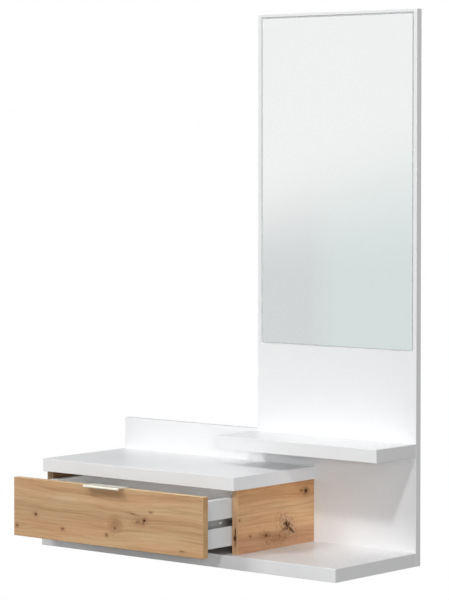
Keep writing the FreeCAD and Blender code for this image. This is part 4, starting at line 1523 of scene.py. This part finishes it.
@dataclass
class Slides:
    """The two ball-bearing slides: rails with rolled corners, slots and screw holes."""

    sheet: float = 0.0012
    track: float = 0.0005
    track_half: float = 0.00114
    track_section: tuple[Span, ...] = ((1.0, 0.0), (0.55, 0.7), (0.0, 1.0), (-0.55, 0.7), (-1.0, 0.0))
    ball_line: float = 0.003
    slot: Span = (0.010, 0.0042)
    slot_round: float = 0.002
    slots: tuple[float, ...] = (0.26, 0.5, 0.74)
    bend: float = 0.0014
    inner_bend: float = 0.0005
    screw: ScrewKind = ScrewKind(0.0028, 0.0015, 0.0012, 0.007)
    long_screw: ScrewKind = ScrewKind(0.0028, 0.0015, 0.0012, 0.013)
    hole_play: float = 0.0001
    hole_sides: int = 20

    def rail(self, side: Side, part: str) -> Blank:
        """One rail: a channel with a ball track in each flange and holes in its web.

        Args:
            side: which side of the cabinet.
            part: drawer or cabinet; the drawer's rail opens outwards and has its tracks inside.

        Returns:
            The rail.
        """
        node = f"{side.word}_{part}_rail"
        tracks_inside = part == "drawer"
        inner_face, outer_face = side.faces(node)
        web, tip = (inner_face, outer_face) if tracks_inside else (outer_face, inner_face)
        low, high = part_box(node)
        level = (low.z + high.z) / 2
        half = (high.z - low.z) / 2
        inner = half - self.sheet
        way = 1.0 if tip > web else -1.0
        line = side.faces(f"drawer_{side.word}_side")[1] - side.value * self.ball_line
        flank = [(line + way * self.track_half * aside, depth * self.track)
                 for aside, depth in self.track_section]
        if tracks_inside:
            upper = [(web, half), (tip, half), (tip, inner), *((x, inner + depth) for x, depth in flank)]
        else:
            track = [(x, half - depth) for x, depth in reversed(flank)]
            upper = [(web, half), *track, (tip, half), (tip, inner)]
        upper.append((web + way * self.sheet, inner))
        fold = len(upper) - 1
        outline = [(x, low.y, level + z) for x, z in upper + [(x, -z) for x, z in reversed(upper)]]
        bends = {0: self.bend, len(outline) - 1: self.bend, fold: self.inner_bend, fold + 1: self.inner_bend}
        rail = Blank([RAIL])
        rail.bar(outline, bends, Vector((0, high.y - low.y, 0)))
        rail.close()
        rail.carve(self.web_holes(side, part, web, way))
        return rail

    def web_holes(self, side: Side, part: str, web: float, way: float) -> Blank:
        """Slots and screw holes through a rail's web.

        Args:
            side: which side of the cabinet.
            part: drawer or cabinet.
            web: the X of the web's outer face.
            way: the sign of X from the web to the flanges' ends.

        Returns:
            The holes.
        """
        low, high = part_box(f"{side.word}_{part}_rail")
        start = web - way * PROUD
        depth = self.sheet + 2 * PROUD
        long, tall = self.slot
        slot = Blank()
        slot.bar([(0.0, y * long / 2, z * tall / 2) for y, z in ((-1, -1), (1, -1), (1, 1), (-1, 1))],
                 dict.fromkeys(range(4), self.slot_round), Vector((way * depth, 0, 0)))
        holes = Blank()
        holes.stamp(slot, [Matrix.Translation((start, low.y + share * (high.y - low.y), (low.z + high.z) / 2))
                           for share in self.slots])
        for spot in middles_of(f"{part}_rail_screws"):
            if side.holds(spot):
                holes.rod(Vector((start, spot.y, spot.z)), Vector((way, 0, 0)), depth,
                          self.screw.head + self.hole_play, segments=self.hole_sides)
        holes.close()
        return holes

    def build(self) -> None:
        """Build four rails, dress cages and balls and set the screws."""
        parts = (("drawer", Body.DRAWER, self.screw, Heading.INWARD),
                 ("cabinet", Body.CARCASS, self.long_screw, Heading.OUTWARD))
        for side in Side:
            for part, body, *_ in parts:
                node = f"{side.word}_{part}"
                self.rail(side, part).hang(f"{node}_channel", body, "rail_steel", f"{node}_rail")
            dress_nodes(CAGE, f"{side.word}_ball_cage")
            dress_nodes(BALL, f"{side.word}_slide_balls")
        for part, body, screw, heading in reversed(parts):
            screw.set_in(f"{part}_rail_screws", f"{part}_rail_cross_screws", body, heading, RAIL)


@dataclass(frozen=True)
class Lamp:
    """A square soft white lamp that looks at the console from a direction."""

    name: str
    toward: Point
    size: float
    power: float


Glow = Callable[[NodeSheet, Socket, Socket], tuple[Value, Socket]]


@dataclass
class Studio:
    """Floor, lamps, pale surroundings and camera."""

    target: Point = (0.0, -0.1, 0.35)
    lamp_distance: float = 8.0
    lamps: tuple[Lamp, ...] = (
        Lamp("key_left", (-0.6, -1.0, 1.2), 2.74, 285.0),
        Lamp("key_right", (0.51, -1.0, 0.99), 0.6, 160.0),
        Lamp("low_right", (0.9, -1.0, 0.09), 1.14, 165.0),
        Lamp("soft_right", (1.0, -0.6, 0.35), 3.43, 105.0),
        Lamp("soft_left", (-1.0, -0.45, 0.22), 1.37, 92.0),
        Lamp("back_fill", (-0.45, 1.0, 0.02), 4.5, 470.0),
    )
    ambient: float = 0.1
    white: Colour = (1.0, 1.0, 1.0)
    floor_level: float = -0.78
    floor_size: float = 30.0
    floor_light: Colour = (0.82, 0.82, 0.82)
    floor_deep: Colour = (0.8, 0.8, 0.8)
    floor_drift: float = 0.8
    floor_roughness: float = 0.9
    fade_end: float = 2.0
    fade_least: float = 0.35
    card_margin: float = 0.4
    card_distance: float = 2.0
    card_size: Span = (0.56, 1.1)
    card_low_tone: Colour = (0.749, 0.757, 0.772)
    card_far_tone: Colour = (0.766, 0.826, 0.825)
    card_tone_turn: Span = (0.36, 0.5)
    card_full: float = 0.24
    card_clear: Span = (0.5, 0.24)
    wall_card_centre: Point = (-0.7, 0.25, 0.2)
    wall_card_size: Span = (1.4, 0.8)
    wall_card_tone: Colour = (0.5, 0.505, 0.515)
    wall_card_high_tone: Colour = (0.6, 0.604, 0.61)
    camera_place: Point = (3.69866, -4.56351, 0.74663)
    camera_yaw: float = 39.9687
    camera_pitch: float = 2.0020
    camera_lens: float = 162.137
    camera_shift: float = -0.1
    camera_sensor: float = 36.0
    camera_end: float = 100.0

    def seen_directly(self, nodes: NodeSheet) -> Socket:
        """One for rays from the camera, from gloss and through glass.

        Args:
            nodes: the tree to work in.

        Returns:
            The share of such rays.
        """
        path = nodes.add("ShaderNodeLightPath").outputs
        seen = nodes.math("MAXIMUM", path["Is Camera Ray"], path["Is Glossy Ray"])
        return nodes.math("MAXIMUM", seen, path["Is Transmission Ray"])

    def stand(self, name: str, shape: bmesh.types.BMesh, paint: bpy.types.Material, *blind: str) -> None:
        """Stand a shape in the studio.

        Args:
            name: its name.
            shape: the shape, which is used up.
            paint: its material.
            *blind: the kinds of ray that don't see it.
        """
        mesh = bpy.data.meshes.new(name)
        shape.to_mesh(mesh)
        shape.free()
        mesh.materials.append(paint)
        thing = bpy.data.objects.new(name, mesh)
        for ray in blind:
            setattr(thing, f"visible_{ray}", False)
        bpy.context.scene.collection.objects.link(thing)

    def build_world(self) -> None:
        """Even light all round, with a white background where it is looked at."""
        world = bpy.data.worlds.new("studio_air")
        world.use_nodes = True
        bpy.context.scene.world = world
        nodes = NodeSheet(world.node_tree)
        dim = world.node_tree.nodes["Background"]
        dim.inputs["Color"].default_value = (*self.white, 1.0)
        dim.inputs["Strength"].default_value = self.ambient
        bright = nodes.add("ShaderNodeBackground", {"Color": self.white, "Strength": 1.0})
        nodes.show(self.seen_directly(nodes), dim, bright)

    def build_floor(self) -> None:
        """A pale floor that keeps the console's shadow and fades to white further off."""
        shape = bmesh.new()
        bmesh.ops.create_grid(shape, x_segments=1, y_segments=1, size=self.floor_size)
        bmesh.ops.translate(shape, vec=(0, 0, self.floor_level), verts=shape.verts)
        paint = fresh_paint("studio_floor_paint")
        nodes = NodeSheet(paint.node_tree)
        shader = paint.node_tree.nodes["Principled BSDF"]
        tone = ToneDrift.use(nodes, Light=self.floor_light, Deep=self.floor_deep, Scale=self.floor_drift)
        nodes.feed(shader.inputs["Base Color"], tone["Color"])
        shader.inputs["Roughness"].default_value = self.floor_roughness
        shader.inputs["Specular IOR Level"].default_value = 0.0
        away = nodes.vector("LENGTH", nodes.vector("MULTIPLY", nodes.place(), (1.0, 1.0, 0.0)))
        fade = nodes.remap(away, 0.0, self.fade_end, self.fade_least, 1.0)
        glow = nodes.add("ShaderNodeEmission", {"Color": self.white, "Strength": 1.0})
        nodes.show(nodes.math("MULTIPLY", fade, self.seen_directly(nodes)), shader, glow)
        self.stand("studio_floor", shape, paint, "diffuse")

    def build_cards(self) -> None:
        """A grey card that the lower part of the mirror shows, and one that the glossy tops show."""
        centre = middle(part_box("mirror_glass"))
        centre.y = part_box("mirror_glass")[0].y
        away = centre - Vector(self.camera_place)
        away.y = -away.y
        away.normalize()
        right = away.cross(UPWARD).normalized()
        right = -right if right.x < 0 else right
        self.hang_card("mirror_card", centre + away * self.card_distance, right, self.card_size,
                       self.mirror_card_glow)
        self.hang_card("wall_card", Vector(self.wall_card_centre), Side.RIGHT.outward, self.wall_card_size,
                       self.wall_card_glow)

    def hang_card(self, name: str, centre: Vector, right: Vector, size: Span, glow: Glow) -> None:
        """An upright card with soft borders that only reflections see.

        Args:
            name: the card's name.
            centre: the middle of the card.
            right: the way along its width.
            size: its width and height within the soft borders.
            glow: gives the card's share of grey and its tone from the places across and up.
        """
        half = 0.5
        reach = half + self.card_margin
        corners = [(-reach, -reach), (reach, -reach), (reach, reach), (-reach, reach)]
        shape = bmesh.new()
        shape.faces.new([shape.verts.new(centre + right * (u * size[0]) + UPWARD * (v * size[1]))
                         for u, v in corners])
        layer = shape.loops.layers.uv.new("card")
        for loop, (u, v) in zip(next(iter(shape.faces)).loops, corners):
            loop[layer].uv = (u + half, v + half)
        paint = fresh_paint(f"{name}_paint")
        nodes = NodeSheet(paint.node_tree)
        parts = nodes.parts(nodes.add("ShaderNodeTexCoord").outputs["UV"])
        grey, tone = glow(nodes, parts["X"], parts["Y"])
        for way in ("X", "Y"):
            for edge, inside in ((-self.card_margin, 0.0), (1.0 + self.card_margin, 1.0)):
                grey = nodes.math("MULTIPLY", grey, nodes.remap(parts[way], edge, inside))
        light = nodes.add("ShaderNodeEmission", {"Color": tone, "Strength": 1.0})
        nodes.show(grey, nodes.add("ShaderNodeBsdfTransparent"), light)
        self.stand(name, shape, paint, "camera", "diffuse", "transmission", "volume_scatter", "shadow")

    def mirror_card_glow(self, nodes: NodeSheet, across: Socket, up: Socket) -> tuple[Value, Socket]:
        """Grey that clears upwards, cooler towards the right.

        Args:
            nodes: the card's tree.
            across: the place across the card.
            up: the place up the card.

        Returns:
            The share of grey and its tone.
        """
        left_end, rise = self.card_clear
        clear = nodes.math("ADD", nodes.math("MULTIPLY", across, rise), left_end)
        ends = {"Value": up, "From Min": self.card_full, "From Max": clear, "To Min": 1.0, "To Max": 0.0}
        grey = nodes.add("ShaderNodeMapRange", ends, interpolation_type="SMOOTHSTEP")
        tone = nodes.mix(nodes.remap(across, *self.card_tone_turn), self.card_low_tone, self.card_far_tone)
        return grey.outputs[0], tone

    def wall_card_glow(self, nodes: NodeSheet, _across: Socket, up: Socket) -> tuple[Value, Socket]:
        """Full grey that grows a little lighter upwards."""
        return 1.0, nodes.mix(up, self.wall_card_tone, self.wall_card_high_tone)

    def build_lamps(self) -> None:
        """Soft lamps, each turned to the console."""
        for lamp in self.lamps:
            light = bpy.data.lights.new(lamp.name, "AREA")
            light.shape = "SQUARE"
            light.size = lamp.size
            light.energy = lamp.power
            holder = bpy.data.objects.new(lamp.name, light)
            way = Vector(lamp.toward).normalized()
            holder.location = Vector(self.target) + way * self.lamp_distance
            holder.rotation_euler = way.to_track_quat("Z", "Y").to_euler()
            holder.visible_camera = False
            bpy.context.scene.collection.objects.link(holder)

    def build_camera(self) -> None:
        """A long lens from the right, a little above the shelves."""
        data = bpy.data.cameras.new("camera")
        data.lens = self.camera_lens
        data.sensor_width = self.camera_sensor
        data.shift_y = self.camera_shift
        data.clip_end = self.camera_end
        camera = bpy.data.objects.new("camera", data)
        camera.location = self.camera_place
        camera.rotation_euler = (math.radians(90.0 - self.camera_pitch), 0.0, math.radians(self.camera_yaw))
        bpy.context.scene.collection.objects.link(camera)
        bpy.context.scene.camera = camera

    def build(self) -> None:
        """Set up the studio."""
        self.build_world()
        self.build_floor()
        self.build_cards()
        self.build_lamps()
        self.build_camera()
        bpy.context.scene.view_settings.view_transform = "Standard"


def main() -> None:
    """Build every sub-assembly and the studio round it."""
    logging.basicConfig(level=logging.INFO, format="%(message)s")
    for part in (BackPanels, MirrorPane, Shelves, CabinetSides, DrawerBox, EdgePull, Slides, Studio):
        part().build()


if __name__ == "__main__":
    main()
